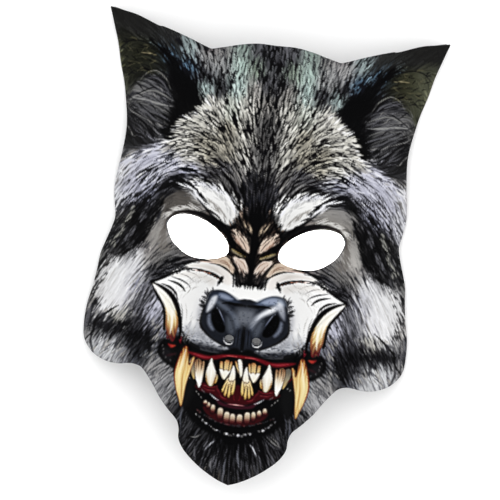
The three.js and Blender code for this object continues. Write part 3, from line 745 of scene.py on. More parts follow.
# How the fur lies: x, y, direction, length, width, light hair, dark hair, share of dark
FUR = """
3 20 90 8 0.8 slate black 0.85
2 -4 90 8 0.8 slate black 0.95
8 11 62 8 0.8 tan black 0.66
10 1 48 9 0.8 tan black 0.45
9 -9 38 8 0.8 rust black 0.72
9 -17 58 8 0.8 tan black 0.5
4 -26 84 7 0.8 slate black 0.9
19 -15 20 9 0.8 tan ink 0.4
4 34 88 10 0.9 slate ink 0.62
5 48 82 11 0.9 ash ink 0.52
3 62 86 11 0.9 ash ink 0.72
3 78 86 12 0.9 ash ink 0.68
3 95 88 12 0.9 stone ink 0.6
5 110 90 11 0.9 steel ink 0.66
4 126 92 9 0.9 slate ink 0.7
4 136 92 8 0.9 steel ink 0.55
10 30 72 11 0.8 steel black 0.62
12 43 65 12 0.85 stone ink 0.48
14 58 62 13 0.9 bone ink 0.5
14 74 66 13 0.95 bone ink 0.5
13 90 74 13 0.95 bone ink 0.5
12 104 82 12 0.9 stone ink 0.45
12 120 90 11 0.9 fern coal 0.42
12 134 95 9 0.9 steel coal 0.4
22 37 50 11 0.8 ash black 0.6
24 48 42 12 0.85 steel ink 0.55
25 60 48 12 0.85 straw ink 0.54
26 75 55 12 0.9 straw ink 0.52
25 90 68 12 0.95 190,196,184 ink 0.44
24 105 86 12 1.0 172,194,188 coal 0.35
24 120 92 12 1.0 teal coal 0.34
24 134 94 9 1.0 130,145,138 slate 0.35
36 44 22 10 0.8 slate black 0.65
38 54 20 10 0.85 straw ink 0.56
40 66 22 10 0.85 straw ink 0.54
38 78 38 11 0.85 bone ink 0.52
36 91 55 11 0.95 bone ink 0.4
35 104 82 10 0.9 slate black 0.68
36 118 85 11 0.95 146,148,148 coal 0.46
38 130 85 9 0.95 ash slate 0.4
48 45 10 11 0.8 lavender night 0.52
50 57 -5 10 0.85 bone ink 0.54
52 69 0 10 0.85 bone ink 0.44
50 81 18 11 0.9 bone slate 0.28
44 90 38 10 0.9 bone slate 0.28
46 103 80 9 0.9 160,178,176 ink 0.4
48 112 80 10 0.9 slate black 0.65
48 124 76 11 0.9 156,156,156 coal 0.44
46 132 74 9 0.9 105,100,102 coal 0.4
60 62 -22 11 0.85 bone coal 0.33
61 75 -10 9 0.9 bone slate 0.28
62 51 -34 11 0.8 mist night 0.42
60 116 70 9 0.9 denim night 0.6
60 130 58 11 0.9 135,148,148 coal 0.4
73 125 52 8 0.9 denim ink 0.5
74 137 48 11 0.9 84,86,86 coal 0.5
95 143 40 9 1.2 50,50,50 34,34,34 0.5
114 151 45 9 1.2 46,46,46 30,30,30 0.5
56 98 60 8 0.9 ink black 0.8
66 80 45 8 0.9 ink black 0.8
66 105 50 8 0.9 ink black 0.9
90 121 15 10 1.2 olive moss 0.4
104 122 -50 9 1.2 sage olive 0.4
104 106 -78 9 1.2 88,90,76 moss 0.4
84 104 22 11 0.8 steel coal 0.5
78 95 25 11 0.8 steel coal 0.5
90 95 12 11 0.9 ash slate 0.45
84 86 26 10 0.8 steel coal 0.5
93 80 35 10 0.9 62,62,64 ink 0.5
84 70 42 9 0.8 72,72,74 ink 0.6
93 66 46 9 0.8 58,58,57 ink 0.5
98 90 -75 9 1.0 58,58,56 coal 0.5
72 58 -24 10 0.9 mist slate 0.22
82 50 -34 11 0.9 mist slate 0.24
93 50 -42 11 0.9 pearl stone 0.2
75 39 -46 10 0.8 mist ink 0.42
88 39 -50 10 0.8 mist slate 0.33
76 29 -48 9 0.8 lavender ink 0.5
88 26 -50 9 0.8 mist ink 0.45
97 28 -58 9 0.9 pearl steel 0.28
104 40 -72 10 1.0 196,197,203 stone 0.3
102 16 -70 9 0.9 196,197,203 steel 0.3
74 15 -55 9 0.8 slate black 0.8
84 15 -52 9 0.8 slate black 0.7
93 10 -50 8 0.8 ash black 0.58
80 2 -58 9 0.8 coal black 0.8
90 -2 -52 8 0.8 steel black 0.62
88 -12 -52 8 0.8 coal black 0.7
99 -6 -50 8 0.8 steel ink 0.6
103 -17 -55 8 0.8 ash ink 0.5
66 14 -78 7 0.8 ash slate 0.4
67 3 -74 8 0.9 stone ash 0.3
69 -6 -62 8 0.9 165,160,156 slate 0.35
72 -16 -55 9 0.8 stone slate 0.42
62 -14 -35 9 0.8 ash ink 0.5
52 -17 -25 9 0.8 steel ink 0.6
60 -25 -35 9 0.8 slate ink 0.62
71 -26 -50 10 0.8 steel ink 0.5
77 -29 -56 10 0.8 lavender slate 0.45
75 -42 -70 12 0.9 steel slate 0.42
75 -54 -72 12 0.9 112,112,120 slate 0.5
44 24 20 7 0.9 stone ash 0.3
54 24 4 7 0.9 stone ash 0.3
62 22 -36 7 0.9 stone slate 0.35
54 34 8 9 0.9 slate ink 0.6
65 30 -42 9 0.9 slate ink 0.6
42 40 18 11 0.8 pearl ink 0.5
82 -20 -58 10 0.9 pearl steel 0.26
90 -28 -60 12 1.0 224,226,230 stone 0.2
98 -27 -60 12 1.0 222,224,226 stone 0.2
84 -40 -62 12 1.0 214,214,224 stone 0.16
95 -42 -62 12 1.0 226,226,230 stone 0.18
97 -52 -58 10 1.0 snow steel 0.2
107 -28 -62 8 0.8 ash ink 0.52
108 -46 -64 9 0.8 stone coal 0.5
112 -60 -80 12 1.0 steel slate 0.4
110 -72 -80 10 1.0 ash slate 0.35
62 -50 -62 8 0.8 mist slate 0.28
61 -62 -58 9 0.8 140,140,152 ink 0.42
85 -56 -58 9 0.9 bone slate 0.35
92 -65 -52 9 0.9 slate black 0.66
75 -67 -64 11 0.9 slate black 0.72
68 -74 -60 10 0.9 slate black 0.66
101 -63 -50 8 0.8 steel black 0.55
61 -80 -45 9 0.8 112,114,120 ink 0.42
76 -80 -62 10 0.9 62,64,70 ink 0.55
91 -78 -65 11 1.1 210,213,214 slate 0.22
100 -80 -70 10 1.1 204,208,210 steel 0.2
88 -88 -60 8 1.0 180,182,182 slate 0.22
74 -89 -62 8 0.9 110,113,124 coal 0.4
59 -92 -40 9 0.9 stone coal 0.4
61 -101 -48 9 1.0 168,168,170 slate 0.28
53 -104 -48 9 0.9 150,150,153 coal 0.38
67 -96 -60 7 0.9 84,82,84 coal 0.4
50 -114 -54 8 0.9 136,136,138 coal 0.4
42 -121 -62 8 0.8 slate ink 0.5
50 -123 -58 7 0.9 84,80,76 coal 0.4
36 -128 -78 10 0.9 74,74,78 black 0.6
27 -136 -55 10 0.9 60,60,64 black 0.72
30 -148 -58 11 1.0 72,71,72 black 0.58
20 -146 -68 12 1.0 84,84,88 black 0.68
10 -151 -80 12 1.0 78,78,83 black 0.7
3 -152 -89 12 1.0 72,72,78 black 0.72
8 -138 -84 8 0.9 coal black 0.85
10 -164 -84 8 0.9 76,72,68 coal 0.4
27 -157 -62 8 0.9 66,63,60 ink 0.45
"""
FACE_EDGE = spots("0,141 20,141 33,139 46,135.5 62,140.5 82,146 100,152 121,157.5 119,148 112,128 106,110 "
    "103,96 101.5,78 101,66 104,48 107,27 104,14 106,0 109,-12 112,-32 115,-52 116,-68 112,-84 104,-94 "
    "92,-95 78,-95 70,-99 61,-112 50,-124 43,-131 41.5,-140 38,-148 25,-158 10,-168 0,-172")


def graded(a, b, stops, streak=0.0, pitch=1.4):
    """A tint that runs from a to b through the stops, broken into fine streaks."""
    shares = [s for s, _ in stops]
    shades = np.array([colour(c) for _, c in stops])
    dx, dy = b[0] - a[0], b[1] - a[1]
    span = np.hypot(dx, dy)

    def tint(x, y):
        along = ((x - a[0]) * dx + (y - a[1]) * dy) / span
        across = ((x - a[0]) * dy - (y - a[1]) * dx) / span
        t = along / span + streak * np.sin(2 * np.pi * across / pitch + 1.5 * np.sin(along * 0.35))
        return np.stack([np.interp(t, shares, shades[:, k]) for k in range(3)], -1)
    return tint


GOLD = [(0.0, (112, 44, 26)), (0.12, (190, 136, 74)), (0.35, (222, 192, 132)), (0.7, (228, 200, 140)),
    (1.0, (198, 158, 98))]
CREAM = [(0.0, (238, 236, 226)), (0.45, (232, 224, 202)), (0.7, (206, 176, 116)), (0.86, (132, 84, 58)),
    (1.0, (70, 30, 34))]
ROW = [(0.0, (206, 194, 172)), (0.45, (166, 142, 118)), (0.75, (100, 50, 48)), (1.0, (60, 12, 20))]
ROOT = [(0.0, (150, 96, 62)), (0.3, (196, 158, 104)), (1.0, (218, 194, 148))]
PRONG = [(0.0, (224, 212, 184)), (0.35, (210, 180, 124)), (0.8, (204, 166, 100)), (1.0, (160, 118, 62))]
CROWN = [(0.0, (224, 216, 196)), (0.4, (232, 228, 216)), (1.0, (214, 202, 172))]
STAIN = [(0.0, (116, 80, 58)), (0.2, (168, 136, 102)), (0.5, (214, 202, 180)), (0.75, (232, 229, 220)),
    (1.0, (224, 221, 208))]


# Lower teeth of the right (1) and left (-1) side: distance from the middle, top, bottom
LOWER_TEETH = {
    1: [(3.4, -119.4, -126), (8.6, -117.4, -125), (12.8, -116.6, -122.6), (16.6, -115.2, -119.6),
        (20.4, -113.4, -117.6)],
    -1: [(1.6, -119.6, -126), (5.6, -118.6, -126), (10.4, -116.4, -123.6), (15.8, -114.6, -120),
        (19.2, -113.4, -117), (21.4, -112.2, -114.8)],
}


def paint_ears(ink, rng):
    for points, *look in [
        ("66,126 76,131 84,134 100,138 113,139 118,146 122,158 101,153 84,147 74,141", (40, 40, 39), 5, 0.72,
            8),
        ("84,131 100,135.5 112,138 109,122 105,108 102.5,97 96,104 86,111 76,114 78,122",
            graded((80, 120), (108, 120), [(0, (30, 31, 25)), (0.4, (48, 48, 35)), (0.8, (80, 82, 66)),
            (1, (70, 72, 60))]), 3, 0.72, 5),
        ("48,94 50,101 54,107 62,114.5 69,121 76,126.5 84,132.5 89,133 83,127.5 77.5,122 73,114 70,106 67,98 "
            "66,89 69,79 74,70 66,64 62,74 57,83", "black", 2.6, 0.94, 5),
        ("71,84 78,98 88,107 96,100 100,90 94,84 80,80", (120, 120, 119), 5, 0.3, 6),
    ]:
        both(fill, ink, points, *look)
    fill(ink, "37,112 46,116 56,127 52,133 42,129 36,121", (160, 160, 160), 4, 0.4, ragged=8)
    for points, *look in [
        ("0,106 6,98 9,72 7,46 0,34", "black", 5, 0.18, 6),
        ("14,50 30,56 50,70 54,84 40,90 20,76", "black", 8, 0.13),
        ("66,62 78,61 92,55 100,50 101,62 100,74 92,70 80,68", (24, 24, 25), 5, 0.7, 8),
    ]:
        both(fill, ink, points, *look)
    for line, wide, tone in [
        ("82,118 90,122 97,121 104,119", 1.0, "moss"),
        ("86,130 96,133 104,132 110,127", 0.9, "ink"),
        ("84,124 90,125 95,124.6", 0.8, (150, 140, 110)),
        ("86,112 91,114 93,116", 1.6, "black"),
        ("80,117 90,120.5 97,121", 0.7, "black"),
        ("104,131 108,125 108.5,121", 1.0, "moss"),
        ("71,101 74,107 80,112 84,113 89,111 94,105", 0.9, (112, 112, 108)),
        ("72,99 77,105 83,108 90,107", 1.2, "steel"),
        ("68,93 76,97 83,99 90,97 96,93", 1.0, (122, 122, 120)),
        ("68,89 78,90 88,92 96,92.5 101,90.5", 1.6, (140, 140, 139)),
        ("70,84 80,88 90,89 98,90", 0.9, (108, 108, 107)),
        ("72,76 80,79 88,85 94,88", 1.0, "steel"),
        ("70,80 78,83 86,87", 0.9, "steel"),
        ("80,100 84,101 90,98 97,94", 0.8, "black"),
        ("66,60 76,60 90,54 99,50", 1.4, "coal"),
    ]:
        both(stroke, ink, line, [0.2, wide, wide * 0.8, 0.2], tone, 0.85)
    for k in range(40):
        x = rng.uniform(68, 98)
        y = rng.uniform(62, 100)
        turn = np.radians(rng.normal(30, 10))
        reach = rng.uniform(5, 12)
        bend = rng.uniform(-1.5, 1.5)
        line = [(x, y), (x + reach / 2 * np.cos(turn), y + reach / 2 * np.sin(turn) + bend),
            (x + reach * np.cos(turn), y + reach * np.sin(turn))]
        tone = ["steel", "black", "ash", "coal"][k % 4]
        both(stroke, ink, line, [0.2, 0.9, 0.2], tone, 0.8)
    for k in range(60):
        x, y = rng.uniform(82, 106), rng.uniform(108, 134)
        turn = np.radians(rng.normal(8, 28))
        reach = rng.uniform(3, 7)
        sag = rng.uniform(-1.2, 1.2)
        tone = ["ink", (96, 92, 70), (70, 70, 54), "black"][k % 4]
        both(stroke, ink, [(x, y), (x + reach / 2 * np.cos(turn), y + reach / 2 * np.sin(turn) + sag),
            (x + reach * np.cos(turn), y + reach * np.sin(turn))], [0.2, 0.7, 0.2], tone, 0.7)


def paint_fringe(ink, rng, coat):
    """Forehead hair that ends over the shadow of the ear."""
    rim = path("41,100 43,94 50,88 58,83 62,78 65,71 70,65 76,62 86,58 99,50", step=1.0)
    for share, tones in ((3.4, ("bone", "bone", "coal", "stone")), (1.6, ("bone", "snow", "bone", "slate"))):
        for k in range(190):
            x, y = rim[int(rng.uniform(0, len(rim) - 1))]
            x, y = x - rng.uniform(0.4, 1.4) * share, y - rng.uniform(0.6, 1.6) * share
            flow = coat.at(np.array([x]), np.array([y]))[0]
            turn = np.arctan2(flow[1], flow[0]) + rng.normal(0, 0.15)
            reach = rng.uniform(3.0, 7.0)
            line = hair(x, y, turn, reach)
            side = 1 if rng.random() < 0.5 else -1
            tone = tones[k % 4]
            if x > 72 and tone == "bone":
                tone = "mist"
            stroke(ink, sided(line, side), [0.5, 1.1, 0.15], tone, 0.9)
    both(fill, ink, "72,62 84,58 97,49 101,44 92,42 80,46 70,54", "mist", 5, 0.35)


def paint_brows(ink, rng):
    for points, *look in [
        ("66,27 70,23 79,23 88,21 96,16 99,5 101,-8 104,-16 94,-17 89,-17 84,-11 79,-5 76,2 73,9 67,12 "
            "65,18", "black", 2, 0.54, 14),
        ("18,24 28,34 40,41 52,42 62,38 68,30 60,34 48,32 38,24 28,14 20,10", "black", 3, 0.7, 7),
        ("12.5,19 13.5,26 17,31.5 24,35 33,36.5 41,38 47,38 44,32 38,25 32,18.5 26,13 20.5,9.5 17,12",
            (226, 226, 224), 1.6, 0.95, 7),
        ("40,18.5 46,26 53,29.5 62,28.5 67,24 67,16 62,11 54,15 47,17", graded((50, 16), (54, 30),
            [(0, (84, 80, 76)), (0.45, (134, 131, 127)), (1, (142, 140, 138))]), 3, 0.8, 5),
        ("61,14 67,12 72,8 75,0 73,-8 66,-10 59,-4 61,6", graded((62, 12), (72, -8),
            [(0, (144, 141, 137)), (1, (170, 168, 164))]), 3, 0.75, 6),
        ("52,-9 60,-5 68,-10 74,-20 66,-22 56,-16 48,-13", (120, 118, 116), 4, 0.5, 8),
    ]:
        both(fill, ink, points, *look)
    for root, turn, reach, tone, count in (
        ("14,20 17,28 24,33 34,36 46,38", [68, 58, 46, 32, 18], 6, "black", 70),
        ("15,18 20,28 30,33 42,36 52,38", [66, 56, 44, 32, 14], 7, "pearl", 60),
        ("34,23 42,30 50,36 58,39", [44, 40, 30, 10], 8, "ink", 60),
        ("17,17 21,24 28,30 38,34", [60, 52, 42, 28], 5, (176, 176, 176), 40),
        ("20,13 26,20 34,27", [56, 48, 38], 6, "stone", 22),
        ("30,18 36,22 44,30 52,36", [46, 44, 34, 16], 6, "pearl", 34),
        ("66,27 70,14 75,2 82,-8 90,-15", [-50, -56, -60, -52, -40], 7, "black", 70),
        ("76,20 80,10 86,0 92,-8", [-50, -54, -56, -50], 5, "steel", 34),
        ("86,18 90,8 95,-2 98,-10", [-50, -54, -56, -56], 5, (140, 140, 134), 30),
        ("40,19 48,19 56,18 62,13", [30, 16, 0, -40], 6, (196, 194, 190), 40),
        ("60,12 63,4 62,-4 56,-10", [-30, -58, -54, -42], 8, (112, 108, 104), 60),
    ):
        hairs(ink, rng, root, turn, reach, [tone], count)
    for points, *look in [
        ("16,9 22,10.5 30,15 37,21.5 43,27", [2.6, 2.8, 2.2, 1.4, 0.6], ["black", "ink", "ink"], 0.85, 1.0),
        ("14.5,-3 18,3.5 24,9 32,13.5 40,16.5 48,17.4 56,16 62,11 64,4", [4.4, 4.8, 5, 4.4, 3.6, 2.4, 1.8,
            1.6, 1.2], ["black", "black", "ink", (50, 45, 42), (96, 90, 86)], 0.92, 0.9),
        ("15,-2 16,-7 20,-11 28,-13.6 37,-14.6 45,-12.5 52,-8 58,-1 61.5,6", [3, 2.6, 1.8, 1.2, 1.2, 1.6,
            1.4, 1.2, 1], ["black", (60, 42, 34), (60, 50, 44), (84, 80, 76), (120, 114, 108)], 0.7, 1.2),
    ]:
        both(stroke, ink, points, *look)


def paint_muzzle(ink, rng):
    """The white muzzle with its wrinkles, and the snarl lines under the eyes."""
    right = spots("4,-32.5 8,-31 12,-22 17,-17.5 24,-15 34,-15 42,-17 49,-21 56,-26 63,-31 67,-34 60,-36 "
        "52,-41 47,-50 45,-60 44,-68 40,-74 30,-77.5 18,-78.5 0,-77")
    both(fill, ink, right, (226, 226, 225), 1.6)
    fill(ink, "-9,-32 -4,-31.5 4,-31.5 9,-32 14,-36 6,-41.5 -6,-41.5 -14,-36", (224, 224, 223), 1.4)
    for points, *look in [
        ("2,-74 12,-68 22,-64 34,-62 44,-64 43,-70 38,-75 24,-79 6,-79", (128, 132, 142), 7, 0.6),
        ("2,-76 14,-74.6 26,-73 38,-71.6 42,-70 38,-75.6 24,-79.5 4,-79", (30, 31, 36), 3.4, 0.8),
        ("29,-40 34,-44 35,-54 32,-63 28,-64 30,-52", (176, 176, 184), 6, 0.5),
    ]:
        both(fill, ink, points, *look)
    for k in range(320):
        x = rng.uniform(3, 44)
        low = np.interp(x, [0, 12, 24, 36, 44], [-76.5, -77.5, -77, -74, -68])
        y = low + abs(rng.normal(0, 4.2))
        depth = np.clip((y - low) / 9, 0, 1)
        reach = rng.uniform(0.8, 3.0)
        turn = np.radians(rng.normal(8 + 0.9 * (x - 22), 12))
        tone = [(34, 36, 44), (96, 100, 112)][int(rng.random() < depth)]
        side = 1 if rng.random() < 0.5 else -1
        line = sided(hair(x, y, turn, reach), side)
        stroke(ink, line, [0.3, 0.75, 0.3], tone, 0.8 - 0.5 * depth)
    for line, widths, tones, strength in [
        ("30,-76 38,-72 43,-66 46,-60", [2.0, 2.2, 1.6, 0.4], ["black", "ink"], 0.75),
        ("2,-78.5 14,-79.5 26,-79 36,-75.5 42,-70", [2.2, 2.6, 2.6, 2.4, 1.6], "black", 0.95),
        ("11,-31 11.5,-25 13,-20.5 17,-17.2 25,-15 35,-15.2 43,-17.4 52,-22", [0.8, 1.2, 1.2, 1.4, 1.4, 1.6,
            2.2, 0.8], ["black", "black", "ink"], 0.9),
        ("22,-16.6 30,-15.9 38,-16.6", [0.3, 0.8, 0.3], (150, 96, 72), 0.6),
        ("19,-28.5 21,-26 26,-23.6 34,-22 42,-21.7 50,-24 58,-28.5 68,-34", [1.4, 1.3, 0.9, 0.6, 1.0, 1.8,
            2.4, 1.8], ["black", "ink", "ink", "black"], 0.92),
        ("21.5,-27 27,-24.4 34,-22.9 41,-22.6", [0.4, 1.0, 0.9, 0.3], [(172, 92, 62), (160, 84, 60)], 0.75),
        ("18.6,-26.4 20.2,-29 22,-31.6", [0.6, 1.2, 0.3], ["ink", "ink", "slate"], 0.8),
        ("24.4,-34.6 27.4,-37.6 28.8,-42", [0.3, 1.6, 0.8], ["slate", "ink", "ink"], 0.8),
        ("61,-34.6 55,-36.6 51,-40 48.6,-45", [0.4, 1.8, 1.6, 0.4], "black", 0.9),
        ("57,-31.6 50,-33.4 46,-36 44.4,-38.2", [0.3, 1.5, 1.8, 0.5], "black", 0.9),
        ("55,-29 48,-30.6 43,-33 41,-35.6", [0.2, 1.0, 1.0, 0.2], ["ink", "slate"], 0.85),
        ("50,-26 44,-27.5 39,-30.5", [0.2, 0.7, 0.2], ["slate", "steel"], 0.75),
        ("46,-24 40,-25 35,-27.5", [0.2, 0.6, 0.2], ["slate", "ash"], 0.6),
        ("46,-47 44.6,-52 44,-58 44.4,-63", [0.3, 0.8, 0.8, 0.3], ["ash", "steel"], 0.8),
        ("43,-46 41.4,-52 41,-58", [0.2, 0.6, 0.2], "stone", 0.6),
    ]:
        both(stroke, ink, line, widths, tones, strength)
    for k in range(70):
        t = rng.random()
        x = np.interp(t, [0, 0.4, 0.7, 1], [19, 30, 44, 60])
        y = np.interp(t, [0, 0.4, 0.7, 1], [-28, -23, -22.3, -29.5]) + rng.normal(0, 0.4)
        turn = np.radians(rng.normal(35 - 75 * t, 14))
        reach = rng.uniform(1.2, 3.2)
        for side in (1, -1):
            stroke(ink, sided(hair(x, y, turn, reach), side), [0.6, 0.15], "ink", 0.8)
    for points, *look in [
        ("13,-29 15,-22 21,-18.5 32,-17.6 42,-19 48,-22 40,-20.6 30,-21.6 22,-24 18,-29", (190, 178, 168),
            3.0, 0.6),
        ("22,-28 30,-25 42,-24 54,-28 44,-28 32,-29 26,-32", (196, 188, 180), 3.0, 0.45),
        ("28,-38 31,-42 33,-52 32,-62 27,-68 24,-72 31,-66 31,-50", (120, 122, 128), 4.5, 0.6),
    ]:
        both(fill, ink, points, *look)
    for points, *look in [
        ("19.4,-27 21,-29.6 22.6,-32", [116, 108, 100], 3.4, ["black", "ink"], 26, 0.5, 0.6),
        ("24.4,-36 27.4,-38.6 29,-43 30,-48", [64, 48, 32, 14], 3.6, ["black", "slate", "ink"], 34, 0.5, 0.6,
            0.8),
        ("30,-49 30.4,-58 26,-65.6 19,-70", [6, -12, -44, -58], 2.0, ["slate", "steel"], 60, 0.8, 0.5, 0.5),
        ("16,-16 28,-14 40,-15.6 50,-20", [30, 12, -8, -26], 4, ["ink", "slate", "black"], 60, 0.9, 0.6,
            0.75),
        ("34,-30 42,-33 48,-40", [150, 140, 120], 5, ["stone", (176, 174, 172)], 40, 3.0, 0.5, 0.6),
        ("34,-58 38,-62 40,-68", [-70, -66, -60], 6, ["stone", (170, 172, 178)], 40, 3.0, 0.6, 0.6),
    ]:
        hairs(ink, rng, points, *look)
    for k in range(46):
        x = rng.uniform(44, 66)
        y = np.interp(x, [44, 55, 66], [-22, -26, -33]) + rng.uniform(0, 6)
        turn = np.radians(rng.normal(-28, 8))
        reach = rng.uniform(4, 9)
        tone = ["ink", "steel", "black"][k % 3]
        both(stroke, ink, hair(x, y, turn, reach), [0.2, 0.8, 0.15], tone, 0.85)


def hairs(ink, rng, line, turn, reach, tones, count, spread=0.9, wide=0.75, strength=0.85):
    """Short hairs on both sides, rooted along a line. turn runs along it, in degrees."""
    rim = path(line, step=0.5)
    for k in range(count):
        t = rng.random()
        x, y = rim[int(t * (len(rim) - 1))] + rng.normal(0, spread, 2)
        lean = np.radians(np.interp(t, np.linspace(0, 1, len(turn)), turn) + rng.normal(0, 7))
        size = reach * rng.uniform(0.5, 1.2)
        tone = tones[k % len(tones)]
        both(stroke, ink, hair(x, y, lean, size), [0.3, wide, 0.15], tone, strength)


def paint_bridge(ink, rng):
    """The dark stripe between the eyes with the folds of bare skin beside it."""
    for points, *look in [
        ("0,26 6,22 13,20 18,9 17,2 15.5,-5 17,-9 15,-16 11,-23 9,-31 4,-32.5 0,-31", "black", 3, 0.6, 5),
        ("0,45 3,35 8,24 10,14 0,10", "black", 4, 0.7, 8),
        ("13,12 17,10 16.6,2 15.4,-5 14,-1", "black", 1.6, 0.8, 3),
    ]:
        both(fill, ink, points, *look)
    folds = [
        ("2.2,6.2 3.2,10 5.8,13.8 8.8,15.4 7.8,12 5.6,9", (176, 158, 136)),
        ("3.4,-6.6 3.8,-1.6 6,3.4 10,6.4 14.4,8.8 17,6.4 15.6,2 10.6,-2.2 6,-5.8", (206, 184, 168)),
        ("4.4,-10.2 8,-8.6 12,-6.4 15.4,-4.8 15.6,-6.2 12,-8 8,-9.8", (134, 124, 100)),
        ("1.4,-21 2.6,-16 6,-12 13.6,-10.4 12.8,-13.6 9.6,-17.6 6,-22 3,-23.8", (216, 196, 182)),
        ("11.4,-21 13.2,-16.6 16.4,-12.4 20,-10.6 27,-13 35,-14.2 28,-15.8 20.4,-18.2 14.6,-22.6",
            (208, 186, 166)),
        ("12.4,-29 13.4,-25.4 16.6,-21 22,-18.8 29,-18 22,-21.6 18,-26 15.4,-30", (222, 216, 210)),
    ]
    for edge, tone in folds:
        both(fill, ink, edge, tone, 1.2, 0.9, 1.2)
    both(fill, ink, "0.8,-20 3,-24 8,-22 10,-26 8.6,-31.6 0.8,-31.6", (62, 62, 64), 3, 0.75)
    for line, wide, tone in [
        ("3,-7.4 8,-7 12,-4.4 16,-2.4", 1.6, "black"),
        ("2.6,-11 8,-10.6 13,-9 18,-9.4", 1.5, "black"),
        ("6,-23.6 9.8,-19.2 13,-15 16.4,-11.2 20,-9.8", 1.6, "black"),
        ("9.6,-28 12.4,-23.4 16.6,-19.8 23,-17.2 30,-16.6", 1.6, "black"),
        ("2.4,4.4 6,6 10,9.4 14,12.6", 1.6, "black"),
        ("5.4,-9.4 10,-7.4 15.2,-5.2", 0.5, (176, 150, 84)),
        ("5,-4.6 8,0 12,4.6", 0.5, "ink"),
        ("7,-4.2 10.6,-0.6 14.8,4", 0.5, (120, 84, 66)),
        ("5,-1 8,3 11,5.6", 0.5, "ink"),
        ("9.4,-2.8 13,1 16,4.8", 0.5, (96, 62, 48)),
        ("3.4,-18 6.6,-13.8 10.6,-11.8", 0.5, (128, 92, 72)),
        ("5,-21 8,-17 11.6,-13", 0.5, (110, 80, 64)),
        ("14,-18 18,-14.8 24,-13.6", 0.6, (128, 90, 68)),
        ("13.6,-20.4 17,-16.4 22.6,-14.8", 0.5, (96, 66, 52)),
    ]:
        both(stroke, ink, line, [0.15, wide, 0.15], tone, 0.85)
    for k in range(90):
        x = rng.uniform(0.5, 8)
        y = rng.uniform(-31, -23)
        turn = np.radians(np.interp(x, [0, 8], [90, 62]) + rng.normal(0, 6))
        reach = rng.uniform(2.5, 4.5)
        tone = ["ink", "coal", "black", (96, 88, 84)][k % 4]
        both(stroke, ink, [(x, y - 1), (x + reach * np.cos(turn), y + reach * np.sin(turn))],
            [0.2, 0.8, 0.15], tone, 0.7)
    for k in range(60):
        x = rng.uniform(0.5, 9)
        y = -31.4 + rng.uniform(-0.6, 1.6)
        reach = rng.uniform(2, 5)
        turn = np.radians(np.interp(x, [0, 8], [90, 68]) + rng.normal(0, 8))
        both(stroke, ink, hair(x, y, turn, reach), [0.3, 0.8, 0.15], ["ink", "black"], 0.85)
    both(stroke, ink, "0.4,20 0.8,4 0.6,-12 0.8,-30", [3.4, 2.6, 2.8, 1.8], "black", 0.9, 1.2)
    for line, turn in [
        ("6,4 10,7 14,9", [50, 46, 42]),
        ("4,8 6,12 8,14", [66, 62, 58]),
        ("3,-23 6,-22 9,-20", [66, 60, 50]),
        ("14,3 16,6", [44, 44]),
    ]:
        hairs(ink, rng, line, turn, 3.4, ["black", (60, 46, 40), "ink"], 22, 1.0, 0.6, 0.8)
    fill(ink, "-8,-32.6 0,-32 8,-32.6 9,-36 5,-41 -5,-41 -9,-36", (224, 224, 222), 1.4)
    hairs(ink, rng, "0,-33.4 4,-33.4 9,-34", [90, 84, 74], 3.4, [(222, 222, 220)], 60, 0.7, 0.7)
    for k in range(70):
        x = rng.uniform(0, 11)
        y = rng.uniform(16, 46)
        turn = np.radians(np.interp(x, [0, 11], [90, 70]) + rng.normal(0, 5))
        reach = rng.uniform(4, 9)
        tone = ["coal", "black", "slate", "night"][k % 4]
        both(stroke, ink, hair(x, y, turn, reach), [0.2, 0.8, 0.15], tone, 0.75)


